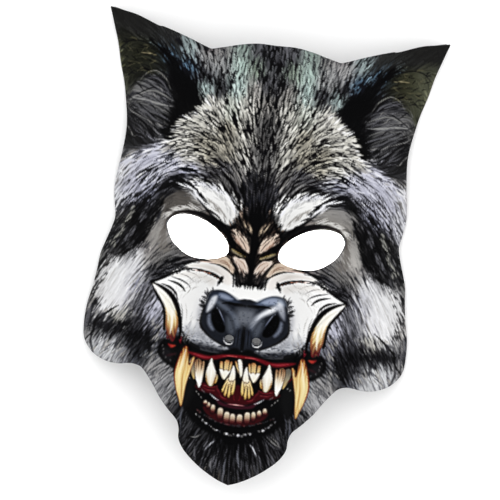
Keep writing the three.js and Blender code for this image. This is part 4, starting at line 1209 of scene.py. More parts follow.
def paint_nose(ink, rng):
    half = spots("0,-41.5 6,-40.5 12,-36.6 18,-34.4 24,-35 27,-38.4 29,-45 30.2,-52 30,-60 26,-64.5 20,-68.5 "
        "12,-72.6 0,-75")
    both(fill, ink, half, (36, 39, 47), 1.2)
    fill(ink, "-8,-41 8,-41 10,-60 8,-72 -8,-72 -10,-60", (36, 39, 47), 1.2)
    for points, *look in [
        ("5,-41 12,-37 18,-35.2 24,-36 26.4,-40 22,-42 16,-41 10,-43", graded((5, -42), (22, -36),
            [(0, (52, 60, 76)), (0.5, (116, 130, 152)), (1, (142, 152, 168))], 0.05, 2.4), 3.2, 0.9),
        ("10,-39.6 15,-36.8 19.6,-36.6 20,-39 15,-40.6", (140, 150, 172), 2.4, 0.8),
        ("3,-58 5,-52 10,-47 16,-43 21.4,-40.4 22.6,-43 18,-46.4 12,-50 8,-55 6,-60",
            graded((4, -58), (22, -41), [(0, (84, 90, 102)), (0.35, (184, 188, 196)), (0.8, (222, 224, 228)),
            (1, (160, 164, 174))], 0.04, 2.0), 2.6, 0.95),
        ("21,-38.6 24.6,-39.6 27,-45 27.4,-50.6 25,-49 22.4,-45", graded((21, -39), (27, -50),
            [(0, (206, 209, 216)), (1, (120, 124, 136))]), 2.0, 0.85),
        ("24.6,-51.6 26.4,-53 25.8,-58.4 22.4,-62.6 20.6,-62 23.4,-57", (104, 110, 124), 1.8, 0.9),
        ("20,-47 23.2,-48.8 23.4,-54 21,-60 17,-63.4 13.6,-63 13,-60 15,-55 17.6,-50.4", (2, 2, 4), 1.0),
    ]:
        both(fill, ink, points, *look)
    both(stroke, ink, "13.6,-58 15.6,-53.4 18.4,-48.8 20.4,-46.6", [0.3, 0.9, 0.8, 0.3],
        [(60, 66, 84), (140, 146, 162)], 0.8)
    both(stroke, ink, "1,-43.4 7,-43.2 13,-42.6 17,-43.4", [1.6, 2.2, 1.8, 0.4], "black", 0.95, 0.9)
    fill(ink, "-6,-46 6,-46 5,-56 -5,-56", (116, 120, 128), 6, 0.8)
    both(fill, ink, "9,-54 13,-52 12,-60 9,-64 6,-62", (86, 92, 102), 3.4, 0.8)
    both(stroke, ink, "0.6,-58 0.6,-66 0.6,-74", [0.6, 1.2, 1.0], "black", 0.9)
    for x in (2.4, 4.4, 6.6):
        both(stroke, ink, [(x, -59), (x * 1.04, -66), (x * 1.1, -72)], [0.2, 0.9, 0.2],
            [(40, 46, 60), (60, 66, 78)], 0.75)
    for points, *look in [
        ("3.4,-60 3.4,-70", [0.2, 0.5, 0.2], "black", 0.7),
        ("29.4,-46 30.6,-53 30.4,-60 26,-65 20,-69 12,-73", [0.8, 1.2, 1.6, 1.6, 1.4, 1.0], "black", 0.85,
            1.0),
        ("6.6,-68.6 8,-70.6 10.6,-70.8 12.8,-69 13.3,-66.4", [0.2, 0.7, 0.9, 0.7, 0.2],
            [(150, 152, 158), (214, 215, 218), (150, 152, 158)], 0.9),
    ]:
        both(stroke, ink, points, *look)
    nose = half + sided(half, -1)[::-1]
    for k in range(240):
        x = rng.uniform(-27, 27)
        y = rng.uniform(-70, -37)
        tone = [(50, 58, 78), (10, 11, 16)][k % 2]
        if depth_in(nose, x, y) > 1.5:
            stroke(ink, [(x, y), (x + 0.4, y)], [0.5, 0.5], tone, 0.3)


def paint_mouth(ink, rng):
    half = spots("0,-77.5 18,-78.6 30,-77.6 40,-73.6 44,-68.6 50,-72 56,-73 59,-78 58,-84 53,-89 47,-92 "
        "45,-98 42,-108 39,-116 34,-122 28,-129 18,-134 8,-137 0,-138")
    both(fill, ink, half, "black", 2.0)
    fill(ink, "-8,-78 8,-78 10,-100 8,-137 -8,-137 -10,-100", "black", 1.0)
    both(fill, ink, "29,-86 34,-84 39,-88 41,-100 41,-112 36,-119 31,-108 30,-96", (24, 25, 28), 4, 0.8)
    both(fill, ink, "50,-80 56,-79 55,-86 48,-88", (40, 38, 42), 3, 0.8)
    gums = [
        ("0,-80 8,-79.6 12,-80.8 18,-82.8 25,-83.6 31,-82.6 37,-80.4 38,-79 30,-79.6 22,-80.4 12,-78.4 "
            "0,-77.8", (116, 18, 32)),
        ("0,-99 4,-102 8,-106 13,-103 19,-100 26,-99.6 30,-103 25,-106 18,-107 12,-110 6,-112 0,-112.5",
            (74, 10, 22)),
        ("0,-113 8,-112.4 15,-109 12,-113.6 6,-115 0,-115.4", (66, 22, 38)),
        ("0,-122 6,-122 14,-119.6 20,-116 23,-117 19,-122 11,-126 0,-127.4", (70, 12, 22)),
    ]
    for edge, tone in gums:
        both(fill, ink, edge, tone, 1.3, 0.95)
    for line, widths, tones in [
        ("3,-79 8,-79 13,-80", [0.3, 0.9, 0.3], [(190, 88, 84), (150, 46, 56)]),
        ("19,-81.6 26,-81.8 33,-80.4", [0.4, 1.2, 0.4], [(140, 32, 46), (160, 56, 64)]),
        ("14,-101 19,-102.4 26,-101", [0.3, 0.9, 0.3], [(104, 26, 36), (130, 52, 58)]),
        ("16,-104.6 21,-104.4 26,-102", [0.3, 0.7, 0.3], [(140, 66, 68), (92, 20, 32)]),
        ("12,-106.4 14,-103.4 15,-101", [0.4, 0.7, 0.3], [(104, 26, 36), (130, 56, 60)]),
        ("1.4,-103 2.4,-106 1.6,-109.4", [0.3, 0.9, 0.4], [(90, 16, 28), (108, 24, 36)]),
        ("7,-109.4 10,-108.6 12,-107", [0.4, 0.8, 0.3], [(112, 28, 38), (140, 60, 62)]),
        ("29,-94 33,-93 38,-89", [0.4, 1.6, 0.6], [(120, 28, 44), (90, 16, 30)]),
        ("0,-112.6 4,-112.7 8,-112", [0.7, 0.6, 0.2], [(196, 140, 138), (110, 46, 58)]),
    ]:
        both(stroke, ink, line, widths, tones, 0.9)
    for side in (1, -1):
        stroke(ink, sided("12.5,-110.8 15.4,-109.4 19,-106.8", side), [0.3, 0.8, 0.3],
            [(222, 222, 226), (180, 180, 190)], 0.9)
        stroke(ink, sided("22,-107 25,-104.6", side), [0.3, 0.8, 0.3], ["slate", "ash"], 0.8)
        for x, y in ((24.5, -110.6), (26.4, -108.6), (28, -107), (34, -98), (36, -99)):
            stroke(ink, [(side * x, y), (side * (x + 0.7), y + 0.9)], [0.4, 0.8, 0.4], ["ash", "stone"], 0.8)
        for x, y in ((55.6, -77), (54.6, -79.4), (54.4, -82), (52.6, -84.6), (49, -86.4)):
            stroke(ink, [(side * x, y), (side * (x + 0.5), y - 1.6)], [0.4, 0.8, 0.3], ["stone", "slate"],
                0.7)
        stroke(ink, sided("47,-76.4 49.4,-77 51.6,-76", side), [0.8, 2.4, 1.0],
            [(214, 76, 52), (150, 30, 36)], 0.9, 1.2)
        stroke(ink, sided("43.4,-69.6 43.6,-72 43.2,-74", side), [0.8, 1.6, 0.8],
            [(196, 70, 84), (120, 24, 40)], 0.9, 1.0)
        stroke(ink, sided("46,-82 52,-84", side), [1.4, 2.0, 1.0], [(70, 36, 42), (52, 30, 36)], 0.8, 1.4)


def tooth(ink, outline, root, tip, stops, streak=0.05, pitch=1.3, rim=(60, 26, 18), grow=0.8, soft=0.8):
    edge = path(outline, closed=True, step=0.7)
    centre = edge.mean(0)
    wider = centre + (edge - centre) * (1 + grow / np.abs(edge - centre).max(0).clip(1.2))
    fill(ink, wider, rim, soft, 0.75, smooth=False)
    fill(ink, edge, graded(root, tip, stops, streak, pitch), soft, smooth=False)


def paint_teeth(ink, rng):
    for side in (1, -1):
        out = 0.0 if side > 0 else 3.6
        for outline, root, tip, stops, pitch in (
            ("5.7,-83.6 6.9,-83.4 7.7,-88 8.2,-91 6.9,-90.6", (6, -83), (8, -91), ROOT, 1),
            ("7.8,-82.9 9.2,-82.2 10.8,-82.9 11,-87 10.8,-91 8.2,-91 8,-87", (9.4, -82), (9.4, -91), ROOT,
                1.2),
            ("12.2,-83.9 13.9,-83.6 13.9,-88 13.2,-91 11.6,-91 12,-87", (13, -83.4), (12.6, -91), ROOT, 1.2),
            ("6.3,-88.8 8,-90 9.4,-88.8 11,-90 12.2,-88.8 14,-89.2 13,-92.4 10.4,-95.9 7.8,-92.6", (10, -88),
                (10, -96), CROWN, 1.6),
            ("2.8,-94 4.4,-94 4.5,-100 4.0,-105.6 2.8,-105 2.2,-100", (3.5, -94), (3.4, -105.8), PRONG, 1),
            ("6,-94 7.4,-94.2 9.6,-99 11,-103.4 10.2,-104.9 8.6,-102", (6.6, -94), (10.6, -105), PRONG, 1),
            ("3.9,-94.5 5.6,-94.6 6.3,-101 6.6,-107.2 5.4,-108 4.5,-103", (4.8, -94.5), (6, -108), PRONG, 1),
            ("5,-94.6 6.8,-94.8 8.3,-101 9.2,-106.2 8,-107.2 6.8,-102", (6, -94.6), (8.6, -107), PRONG, 1),
            ("4.5,-85.4 5.7,-88.4 6.4,-92 7,-95.6 4.8,-97 2.9,-95 2.9,-91 3.5,-88", (4.5, -85), (5, -97),
                CROWN, 1.6),
            ("14.8,-94.6 16.6,-92.6 17,-98 15.8,-99.4", (16, -93), (16, -99), PRONG, 1),
            ("20.2,-82.2 21.7,-86 22.9,-90.4 23.2,-94.6 22,-98.8 19.8,-101.6 18,-101 16.8,-97.8 16.1,-94 "
                "16.9,-90 18.7,-86", (20, -82), (20, -101), CROWN, 2),
            ("32,-84.6 35,-84 35.6,-88 33.4,-94 31,-98 31,-92", (34, -84), (31.4, -97),
                [(0, (90, 86, 80)), (0.5, (140, 130, 110)), (1, (176, 150, 96))], 1.3),
            ("25.2,-84.6 26.6,-85.8 28.2,-83.8 30,-83.8 31.6,-85.6 31.3,-91 30,-97 27.2,-103.4 25.8,-100.4 "
                "25.1,-92", (28.4, -84), (27, -103), STAIN, 1.5),
        ):
            tooth(ink, sided(outline, side), (side * root[0], root[1]), (side * tip[0], tip[1]), stops, 0.07,
                pitch, (40, 18, 14), 0.45, 0.5)
        for line, wide, tone in [
            ("22.8,-93 22.2,-97.6 20.4,-101", 1.0, (150, 108, 58)),
            ("16.4,-93.6 16.8,-97.6 18,-101", 1.0, (142, 98, 52)),
            ("20,-86 19.4,-92 19.6,-98", 0.8, (240, 238, 230)),
            ("26.5,-84 26.7,-91", 0.8, "black"),
            ("29.2,-83 28.9,-89", 0.7, "black"),
            ("30.6,-86 30.4,-93", 0.6, (96, 70, 48)),
            ("4.9,-99 4.6,-106", 0.7, "black"),
            ("6.9,-99 7.2,-107", 0.7, "black"),
            ("8.3,-99 9.8,-105", 0.6, "black"),
            ("4,-96 5.6,-96.4", 0.5, (120, 84, 48)),
        ]:
            stroke(ink, sided(line, side), [0.2, wide, 0.3], tone, 0.85)
        for x, top, low in LOWER_TEETH[side]:
            wide = 1.75 if abs(x) < 12 else 1.35
            tooth(ink, sided([(x - wide, top - 0.8), (x, top + 0.5), (x + wide, top - 0.8),
                (x + wide * 0.9, low), (x, low - 0.8), (x - wide * 0.9, low)], side), (side * x, top),
                (side * x, low), ROW, 0.05, 1.1, (30, 8, 12), 0.4)
        tooth(ink, sided("44,-77 46.4,-84 48.2,-92 48.4,-98 46.6,-106 44,-113 42,-117.8 41,-112 40.2,-103 "
            "38.4,-94 36,-83 38,-84.6 39.4,-88 40.4,-81 41.6,-76.4", side, out), (side * (42 - out), -76),
            (side * (42 - out), -117.6), GOLD, 0.10, 1.9, (120, 44, 24), 0.7)
        for line, widths, tones, strength in [
            ("42.6,-78.4 44,-88 45.6,-97 44,-108", [0.6, 1.8, 2.0, 0.5], [(236, 226, 200), (240, 222, 170),
                (228, 200, 140)], 0.75),
            ("42,-90 43,-98 42.6,-106 41.8,-114", [0.2, 1.0, 1.0, 0.3], [(190, 142, 70), (170, 118, 58)],
                0.7),
            ("38,-86 40,-94 41.2,-104", [0.3, 0.9, 0.3], [(200, 150, 80), (214, 174, 100)], 0.7),
            ("45.4,-80 48,-90 48.6,-97 47,-105", [0.5, 0.9, 0.9, 0.3], [(120, 42, 22), (170, 90, 40)], 0.75),
            ("37.4,-84 39,-88.4 40.4,-82", [0.3, 1.0, 0.3], [(110, 40, 24), (60, 16, 14)], 0.8),
        ]:
            stroke(ink, sided(line, side, out), widths, tones, strength)
        stroke(ink, sided("68,-34.6 61,-37 54,-41.6 48.8,-49 45.8,-57 44.4,-64 44,-71", side),
            [0.8, 2.2, 3.6, 3.8, 3.0, 2.4, 1.4], "black", 0.96)
        stroke(ink, sided("68,-35 63,-43.4 58.4,-50 56.6,-58 56,-66", side), [0.8, 2.2, 2.0, 2.0, 2.0],
            "black", 0.95)
        tooth(ink, sided("67.6,-35.4 62,-43 57.4,-49.6 55.6,-56 55.2,-62 53.8,-68 50.6,-73.6 48.4,-73 "
            "47.2,-69 46.6,-63 47.6,-56.4 50.4,-49.4 54.6,-43.4 60.4,-38.6", side), (side * 62, -38),
            (side * 50, -74), CREAM, 0.06, 2.6, (16, 8, 8), 0.4)
        for line, widths, tones, strength in [
            ("49.6,-52 47.6,-58 47.2,-63 48,-69", [0.3, 1.2, 1.4, 0.6], [(196, 160, 96), (124, 64, 42)],
                0.85),
            ("56.4,-51 55,-57 54.8,-62 53.4,-68", [0.3, 1.0, 1.2, 0.6], [(192, 154, 90), (116, 56, 40)],
                0.85),
            ("55,-46.6 51.8,-53 51,-61 51.2,-68", [0.5, 1.8, 2.0, 0.5], [(244, 240, 228), (238, 226, 196)],
                0.85),
            ("53.6,-60 52.6,-67 51,-72", [0.3, 1.2, 0.5], [(180, 134, 84), (110, 44, 38)], 0.8),
            ("47.6,-70 49,-73.4 51,-70 53,-72 54,-67", [0.5, 1.0, 1.0, 0.6], [(110, 20, 30), (90, 14, 24)],
                0.8),
        ]:
            stroke(ink, sided(line, side), widths, tones, strength)
    tooth(ink, "-3.7,-82.8 -2.7,-82.4 -1.2,-87 -0.2,-90.6 -1.6,-88.6", (-3.2, -82), (-1, -90), ROOT, 0.05, 1,
        (40, 18, 14), 0.4, 0.5)
    tooth(ink, "-1.8,-81.4 -0.4,-80.8 0.8,-81.8 1.6,-86 2,-90.4 1.2,-93.4 0.2,-91 -0.8,-87.4", (0, -81),
        (1.2, -93), CROWN, 0.07, 1.2, (40, 18, 14), 0.4, 0.5)


def paint_chin(ink, rng):
    """Bead-like specks of light on the lip, and the beard under it."""
    for k in range(58):
        t = rng.random()
        x = -28 + 57 * t
        y = np.interp(x, [-28, -20, -12, -5, 3.5, 10, 21, 29], [-121.4, -127.6, -132, -133.6, -134, -132,
            -128, -121])
        y += rng.normal(0, 0.35)
        x += rng.normal(0, 0.3)
        tone = ["stone", "ash", "steel", "slate"][k % 4]
        stroke(ink, [(x, y), (x + 0.2, y - rng.uniform(0.2, 1.2))], [0.7, 0.4], tone, 0.8)
    for x, y, size in [
        (-19.6, -127.8, 1.5),
        (-11.8, -131.8, 1.2),
        (-4.6, -133.6, 2.2),
        (3.6, -133.8, 2.4),
        (8.6, -132.8, 1.2),
        (11.6, -132.2, 1.1),
        (20.4, -128.4, 1.9),
        (-22.4, -126, 0.9),
        (24, -126, 1.0),
    ]:
        stroke(ink, [(x, y), (x + 0.6, y)], [size * 0.72, size * 0.6], [(214, 214, 220), (170, 170, 178)],
            0.85, 0.7)
    for k in range(90):
        x = rng.uniform(-27, 27)
        y = np.interp(abs(x), [0, 12, 20, 27], [-127.6, -126, -123, -119.4]) + rng.normal(0, 0.3)
        tone = ["slate", "coal", (92, 58, 60)][k % 3]
        stroke(ink, [(x, y), (x + 0.5, y + 0.2)], [0.8, 0.5], tone, 0.7)
    for k in range(300):
        x = rng.uniform(-40, 40)
        y = rng.uniform(-166, -122)
        top = np.interp(abs(x), [0, 12, 22, 30, 36, 41], [-138, -136, -131, -125, -119, -116])
        if y > top:
            continue
        turn = np.radians(-90 + x * 0.85 + rng.normal(0, 4))
        reach = rng.uniform(6, 15)
        bend = 0.02 * x * rng.uniform(0.4, 1.4)
        line = [(x, y), (x + reach / 2 * np.cos(turn) + bend, y + reach / 2 * np.sin(turn)),
            (x + reach * np.cos(turn), y + reach * np.sin(turn))]
        tone = ["black", (84, 84, 90), "ink", "coal", (100, 100, 106), "black"][k % 6]
        stroke(ink, line, [0.2, 0.8, 0.15], tone, 0.75)
    for line, wide, tone in [
        ("12,-139 15,-142 18,-147", 1.1, (186, 188, 196)),
        ("-12,-139 -15,-142 -18,-146", 0.9, (176, 178, 186)),
        ("-17,-140 -19,-143 -20,-147", 0.8, "steel"),
        ("24,-133 29,-137 34,-139.6", 1.0, "ash"),
        ("22,-134 28,-139 32,-141", 0.8, "steel"),
        ("26,-132 31,-136 33,-139", 0.8, "ash"),
        ("-30,-138.6 -26,-138.4 -22,-136", 1.0, "ash"),
        ("4,-144 5,-150 7,-158", 1.3, (104, 106, 114)),
        ("-3,-150 -4,-157 -3.4,-163", 1.3, (98, 100, 108)),
        ("-13,-151 -13.6,-157 -12,-163", 1.4, (110, 110, 114)),
        ("-26,-144 -25.6,-150 -24,-156", 1.2, (92, 92, 96)),
        ("19,-146 21,-151 22,-156", 1.2, (92, 92, 98)),
        ("-37,-118 -38,-126 -37,-134", 1.4, (88, 90, 98)),
        ("38,-119 39,-127 38.4,-134", 1.4, (84, 86, 94)),
        ("34,-116 36.6,-124 36,-131", 1.1, (74, 76, 84)),
    ]:
        stroke(ink, line, [0.2, wide, 0.2], tone, 0.85)


def paint_cheeks(ink, rng):
    for points, *look in [
        ("78,-16 88,-11 98,-18 105,-30 107,-46 100,-58 90,-54 80,-42 74,-30", (220, 220, 222), 6, 0.55, 12),
        ("74,-82 84,-77 100,-75 110,-79 104,-92 92,-95 80,-95", (190, 190, 194), 4, 0.4, 10),
        ("48,-92 58,-87 68,-91 66,-104 56,-115 48,-113", (172, 172, 174), 5, 0.4, 10),
    ]:
        both(fill, ink, points, *look)
    both(stroke, ink, "90,-53 94,-56 100,-61 105.6,-67 106.6,-73 112,-80", [0.4, 1.6, 1.8, 1.4, 1.4, 0.8],
        ["black", "ink"], 0.9)
    both(stroke, ink, "106.6,-74 107.6,-80 105,-88", [0.6, 1.8, 1.4], ["coal", "slate"], 0.75, 1.2)
    both(fill, ink, "70,-60 78,-60 88,-66 100,-66 104,-70 92,-73 84,-76 80,-84 72,-92 66,-84 64,-72",
        "black", 4, 0.42, 14)
    both(fill, ink, "106,-16 110,-30 114,-50 115,-68 117,-68 117,-40 113,-20", (150, 152, 146), 4, 0.6)
    for k in range(150):
        x = rng.uniform(58, 104)
        y = rng.uniform(-86, -54)
        if not -22 < y + 72 - 0.1 * (x - 80) < 16:
            continue
        turn = np.radians(rng.normal(-56, 9))
        reach = rng.uniform(4, 9)
        dark = depth_in("66,-58 80,-62 104,-64 104,-71 84,-76 72,-90 64,-76", x, y) > -2
        tone = [("black", "coal", "ink")[k % 3], ("ash", "slate", "stone")[k % 3]][0 if dark else 1]
        both(stroke, ink, hair(x, y, turn, reach), [0.2, 1.0, 0.15], tone, 0.8)
    for k in range(26):
        x = rng.uniform(100, 110)
        y = rng.uniform(-56, -20)
        turn = np.radians(rng.normal(-58, 8))
        reach = rng.uniform(3, 6)
        both(stroke, ink, hair(x, y, turn, reach), [0.2, 1.0, 0.15], ["ink", "coal"], 0.75)


def pressed(tone):
    """The painting as it comes off the press: crisper, a little paler in tint and deeper in the darks."""
    for k in range(3):
        tone[..., k] += CRISP * (tone[..., k] - blurred(tone[..., k], LOCK_SIZE))
    grey = tone.mean(-1, keepdims=True)
    tone = grey + (tone - grey) * TINT_KEPT
    return np.interp(tone, np.array(PAINTED) / 255, np.array(PRINTED) / 255)


def paint(seed, count):
    """The whole print, with count long hairs, as tones in rows from the top."""
    rng = np.random.default_rng(seed)
    coat = Coat()
    ink = Print(coat, rng)
    comb(ink, rng, FACE_EDGE + sided(FACE_EDGE, -1)[::-1], coat, count)
    paint_ears(ink, rng)
    paint_fringe(ink, rng, coat)
    for part in (paint_cheeks, paint_brows, paint_muzzle, paint_bridge, paint_nose, paint_mouth, paint_teeth,
                 paint_chin):
        part(ink, rng)
    return pressed(ink.tone)


# Placing: the drawing's millimetres to the frame's metres

UV_MARGIN = 4
BAND_STEP = 0.0012
STITCH_LENGTH = 0.0019
THREAD = 0.0005
PATCH_EDGE = 0.0005
FLOOR_REACH = 4.0
AIM_HEIGHT = 0.05
EYE_LAMP = (0.036, 0.034, 0.045)
SENSOR = 36
LOOK_AT = np.array((-3.1, -4.42, 30.0))


def shell_layers():
    """Front and back of the foam with their common triangles, in millimetres."""
    points, triangles = cut_sheet(bpy.context.scene.wolf_foam.pitch / MM)
    x, y = points.T
    front = behind(x, y, bpy.context.scene.wolf_foam.cloth / MM)
    front[:, 2] += np.minimum(relief(x, y), 0)
    back = behind(x, y, WALL)
    return front, back, triangles


def frame_shift():
    """What moves the drawing onto the CAD shell: its rim to the table, its middle to the middle."""
    outline, _ = sheet_loops(1.0)
    x, y = outline.T
    face = np.stack([x, y, form(x, y)], 1)
    rim = np.vstack([face, behind(x, y, WALL)])
    low, high = (np.array(corner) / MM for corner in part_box("mask_shell"))
    middle = (rim[:, 1].min() + rim[:, 1].max()) / 2
    return np.array([0, (low[1] + high[1]) / 2 - middle, low[2] - rim[:, 2].min()])


def make_mesh(name, points, faces=(), edges=(), smooth=True):
    """An object whose mesh has these points, given in the drawing's millimetres."""
    mesh = bpy.data.meshes.new(name)
    places = (np.asarray(points) + frame_shift()) * MM
    mesh.from_pydata(places.tolist(), list(edges), [list(face) for face in faces])
    mesh.validate()
    if smooth:
        mesh.polygons.foreach_set("use_smooth", np.ones(len(mesh.polygons), bool))
    obj = bpy.data.objects.new(name, mesh)
    bpy.context.scene.collection.objects.link(obj)
    return obj


def add_uv(obj, points):
    """One flat chart over the whole sheet, seen from the front."""
    layer = obj.data.uv_layers.new(name="OFBake")
    size = EAR_RISE + CHIN_DROP + 2 * UV_MARGIN
    corners = np.zeros(len(obj.data.loops), int)
    obj.data.loops.foreach_get("vertex_index", corners)
    uv = (points[corners, :2] + (size / 2, CHIN_DROP + UV_MARGIN)) / size
    layer.data.foreach_set("uv", uv.ravel())


def colour_points(obj, points, ink):
    """The print, laid on the mesh as a colour at each point."""
    column = (points[:, 0] - LEFT) / PIXEL - 0.5
    row = (TOP - points[:, 1]) / PIXEL - 0.5
    c = np.clip(column.astype(int), 0, COLUMNS - 2)
    r = np.clip(row.astype(int), 0, ROWS - 2)
    fc = (column - c)[:, None]
    fr = (row - r)[:, None]
    top = ink[r, c] * (1 - fc) + ink[r, c + 1] * fc
    low = ink[r + 1, c] * (1 - fc) + ink[r + 1, c + 1] * fc
    tone = np.clip(top * (1 - fr) + low * fr, 0, 1)
    linear = np.where(tone <= 0.04045, tone / 12.92, ((tone + 0.055) / 1.055) ** 2.4)
    layer = obj.data.color_attributes.new("print", "FLOAT_COLOR", "POINT")
    layer.data.foreach_set("color", np.column_stack([linear, np.ones(len(linear))]).ravel())


# Materials

def node(tree, kind, inputs=None, **settings):
    """A new node with these settings, and these values at its inputs."""
    new = tree.nodes.new(kind)
    for key, value in settings.items():
        setattr(new, key, value)
    for name, value in (inputs or {}).items():
        new.inputs[name].default_value = value
    return new


def wire(tree, links):
    """Links an output of one node to an input of another, for each row."""
    for start, output, end, entry in links:
        tree.links.new(start.outputs[output], end.inputs[entry])


def sockets(tree, inputs, outputs):
    """Names the group's inputs, with their kinds and values, and its outputs. Returns the input node."""
    for name, kind, *value in inputs:
        socket = tree.interface.new_socket(name, in_out="INPUT", socket_type="NodeSocket" + kind)
        if value:
            socket.default_value = value[0]
    for name, kind in outputs:
        tree.interface.new_socket(name, in_out="OUTPUT", socket_type="NodeSocket" + kind)
    return node(tree, "NodeGroupInput")


def grain_group():
    """Shared effect: the fine unevenness of a surface as a bumped normal and a tone."""
    tree = bpy.data.node_groups.new("Surface grain", "ShaderNodeTree")
    source = sockets(
        tree, [("Scale", "Float", 900), ("Depth", "Float", 0.0002), ("Tone spread", "Float", 0.1)],
        [("Normal", "Vector"), ("Tone", "Float")])
    place = node(tree, "ShaderNodeTexCoord")
    noise = node(tree, "ShaderNodeTexNoise", {"Detail": 3})
    bump = node(tree, "ShaderNodeBump")
    tone = node(tree, "ShaderNodeMapRange")
    low = node(tree, "ShaderNodeMath", {0: 1}, operation="SUBTRACT")
    high = node(tree, "ShaderNodeMath", {0: 1}, operation="ADD")
    out = node(tree, "NodeGroupOutput")
    wire(tree, [
        (place, "Object", noise, "Vector"),
        (source, "Scale", noise, "Scale"),
        (noise, "Fac", bump, "Height"),
        (source, "Depth", bump, "Distance"),
        (source, "Tone spread", low, 1),
        (source, "Tone spread", high, 1),
        (noise, "Fac", tone, "Value"),
        (low, 0, tone, "To Min"),
        (high, 0, tone, "To Max"),
        (bump, "Normal", out, "Normal"),
        (tone, "Result", out, "Tone"),
    ])
    return tree


def grained(name, tint, roughness, scale, depth, spread, sheen=0.0, shine=0.3):
    """A material whose colour and normal pass through the shared grain. Returns it and its nodes."""
    material = bpy.data.materials.new(name)
    material.use_nodes = True
    tree = material.node_tree
    shader = tree.nodes["Principled BSDF"]
    for entry, value in (("Roughness", roughness), ("Sheen Weight", sheen), ("Specular IOR Level", shine)):
        shader.inputs[entry].default_value = value
    grain = node(tree, "ShaderNodeGroup",
                 node_tree=bpy.data.node_groups.get("Surface grain") or grain_group())
    for entry, value in (("Scale", scale), ("Depth", depth), ("Tone spread", spread)):
        grain.inputs[entry].default_value = value
    shade = node(tree, "ShaderNodeMix", {"Factor": 1, "A": (*tint, 1)}, data_type="RGBA",
                 blend_type="MULTIPLY")
    wire(tree, [
        (grain, "Tone", shade, "B"),
        (shade, "Result", shader, "Base Color"),
        (grain, "Normal", shader, "Normal"),
    ])
    return material, (tree, grain, shade, shader)


def print_material():
    """Printed cloth: the print on a fine weave."""
    material, (tree, grain, shade, shader) = grained(
        "Printed cloth", (1, 1, 1), roughness=0.8, scale=1400, depth=0.00008, spread=0.05, shine=0.03)
    ink = node(tree, "ShaderNodeAttribute", attribute_name="print")
    place = node(tree, "ShaderNodeTexCoord")
    weave = node(tree, "ShaderNodeTexWave", {"Scale": 480, "Distortion": 1.5},
                 wave_type="BANDS", bands_direction="DIAGONAL")
    bump = node(tree, "ShaderNodeBump", {"Distance": 0.00004})
    wire(tree, [
        (ink, "Color", shade, "A"),
        (place, "Object", weave, "Vector"),
        (weave, "Fac", bump, "Height"),
        (grain, "Normal", bump, "Normal"),
        (bump, "Normal", shader, "Normal"),
    ])
    return material


def elastic_material():
    """Ribbed elastic: rubber cords along it, thread across it."""
    material, (tree, _, shade, _) = grained(
        "Black elastic", (0.012, 0.012, 0.013), roughness=0.8, scale=1600, depth=0.0001, spread=0.25,
        sheen=0.3)
    along = node(tree, "ShaderNodeAttribute", attribute_name="along")
    across = node(tree, "ShaderNodeAttribute", attribute_name="across")
    join = node(tree, "ShaderNodeCombineXYZ")
    weave = node(tree, "ShaderNodeTexChecker", {
        "Color1": (0.009, 0.009, 0.010, 1), "Color2": (0.022, 0.022, 0.024, 1), "Scale": 1 / 0.0006})
    wire(tree, [
        (along, "Fac", join, "X"),
        (across, "Fac", join, "Y"),
        (join, "Vector", weave, "Vector"),
        (weave, "Color", shade, "A"),
    ])
    return material


# Geometry Nodes

def run_nodes(obj, tree, values):
    """Runs the tree on obj with these inputs and keeps the result as a plain mesh."""
    modifier = obj.modifiers.new("Build", "NODES")
    modifier.node_group = tree
    for item in tree.interface.items_tree:
        if item.item_type == "SOCKET" and item.in_out == "INPUT" and item.name in values:
            modifier[item.identifier] = values[item.name]
    keep_evaluated(obj)
    obj.data.name = obj.name


def keep_evaluated(obj):
    """Puts the mesh that the modifiers give in the object's place, as a plain mesh."""
    graph = bpy.context.evaluated_depsgraph_get()
    mesh = bpy.data.meshes.new_from_object(obj.evaluated_get(graph))
    obj.modifiers.clear()
    old = obj.data
    obj.data = mesh
    bpy.data.meshes.remove(old)


def finish_tree(tree, source, made, output):
    """Every tree ends the same way: instances made real, then the material."""
    real = node(tree, "GeometryNodeRealizeInstances")
    clothe = node(tree, "GeometryNodeSetMaterial")
    out = node(tree, "NodeGroupOutput")
    wire(tree, [
        (made, output, real, "Geometry"),
        (real, "Geometry", clothe, "Geometry"),
        (source, "Material", clothe, "Material"),
        (clothe, "Geometry", out, "Geometry"),
    ])


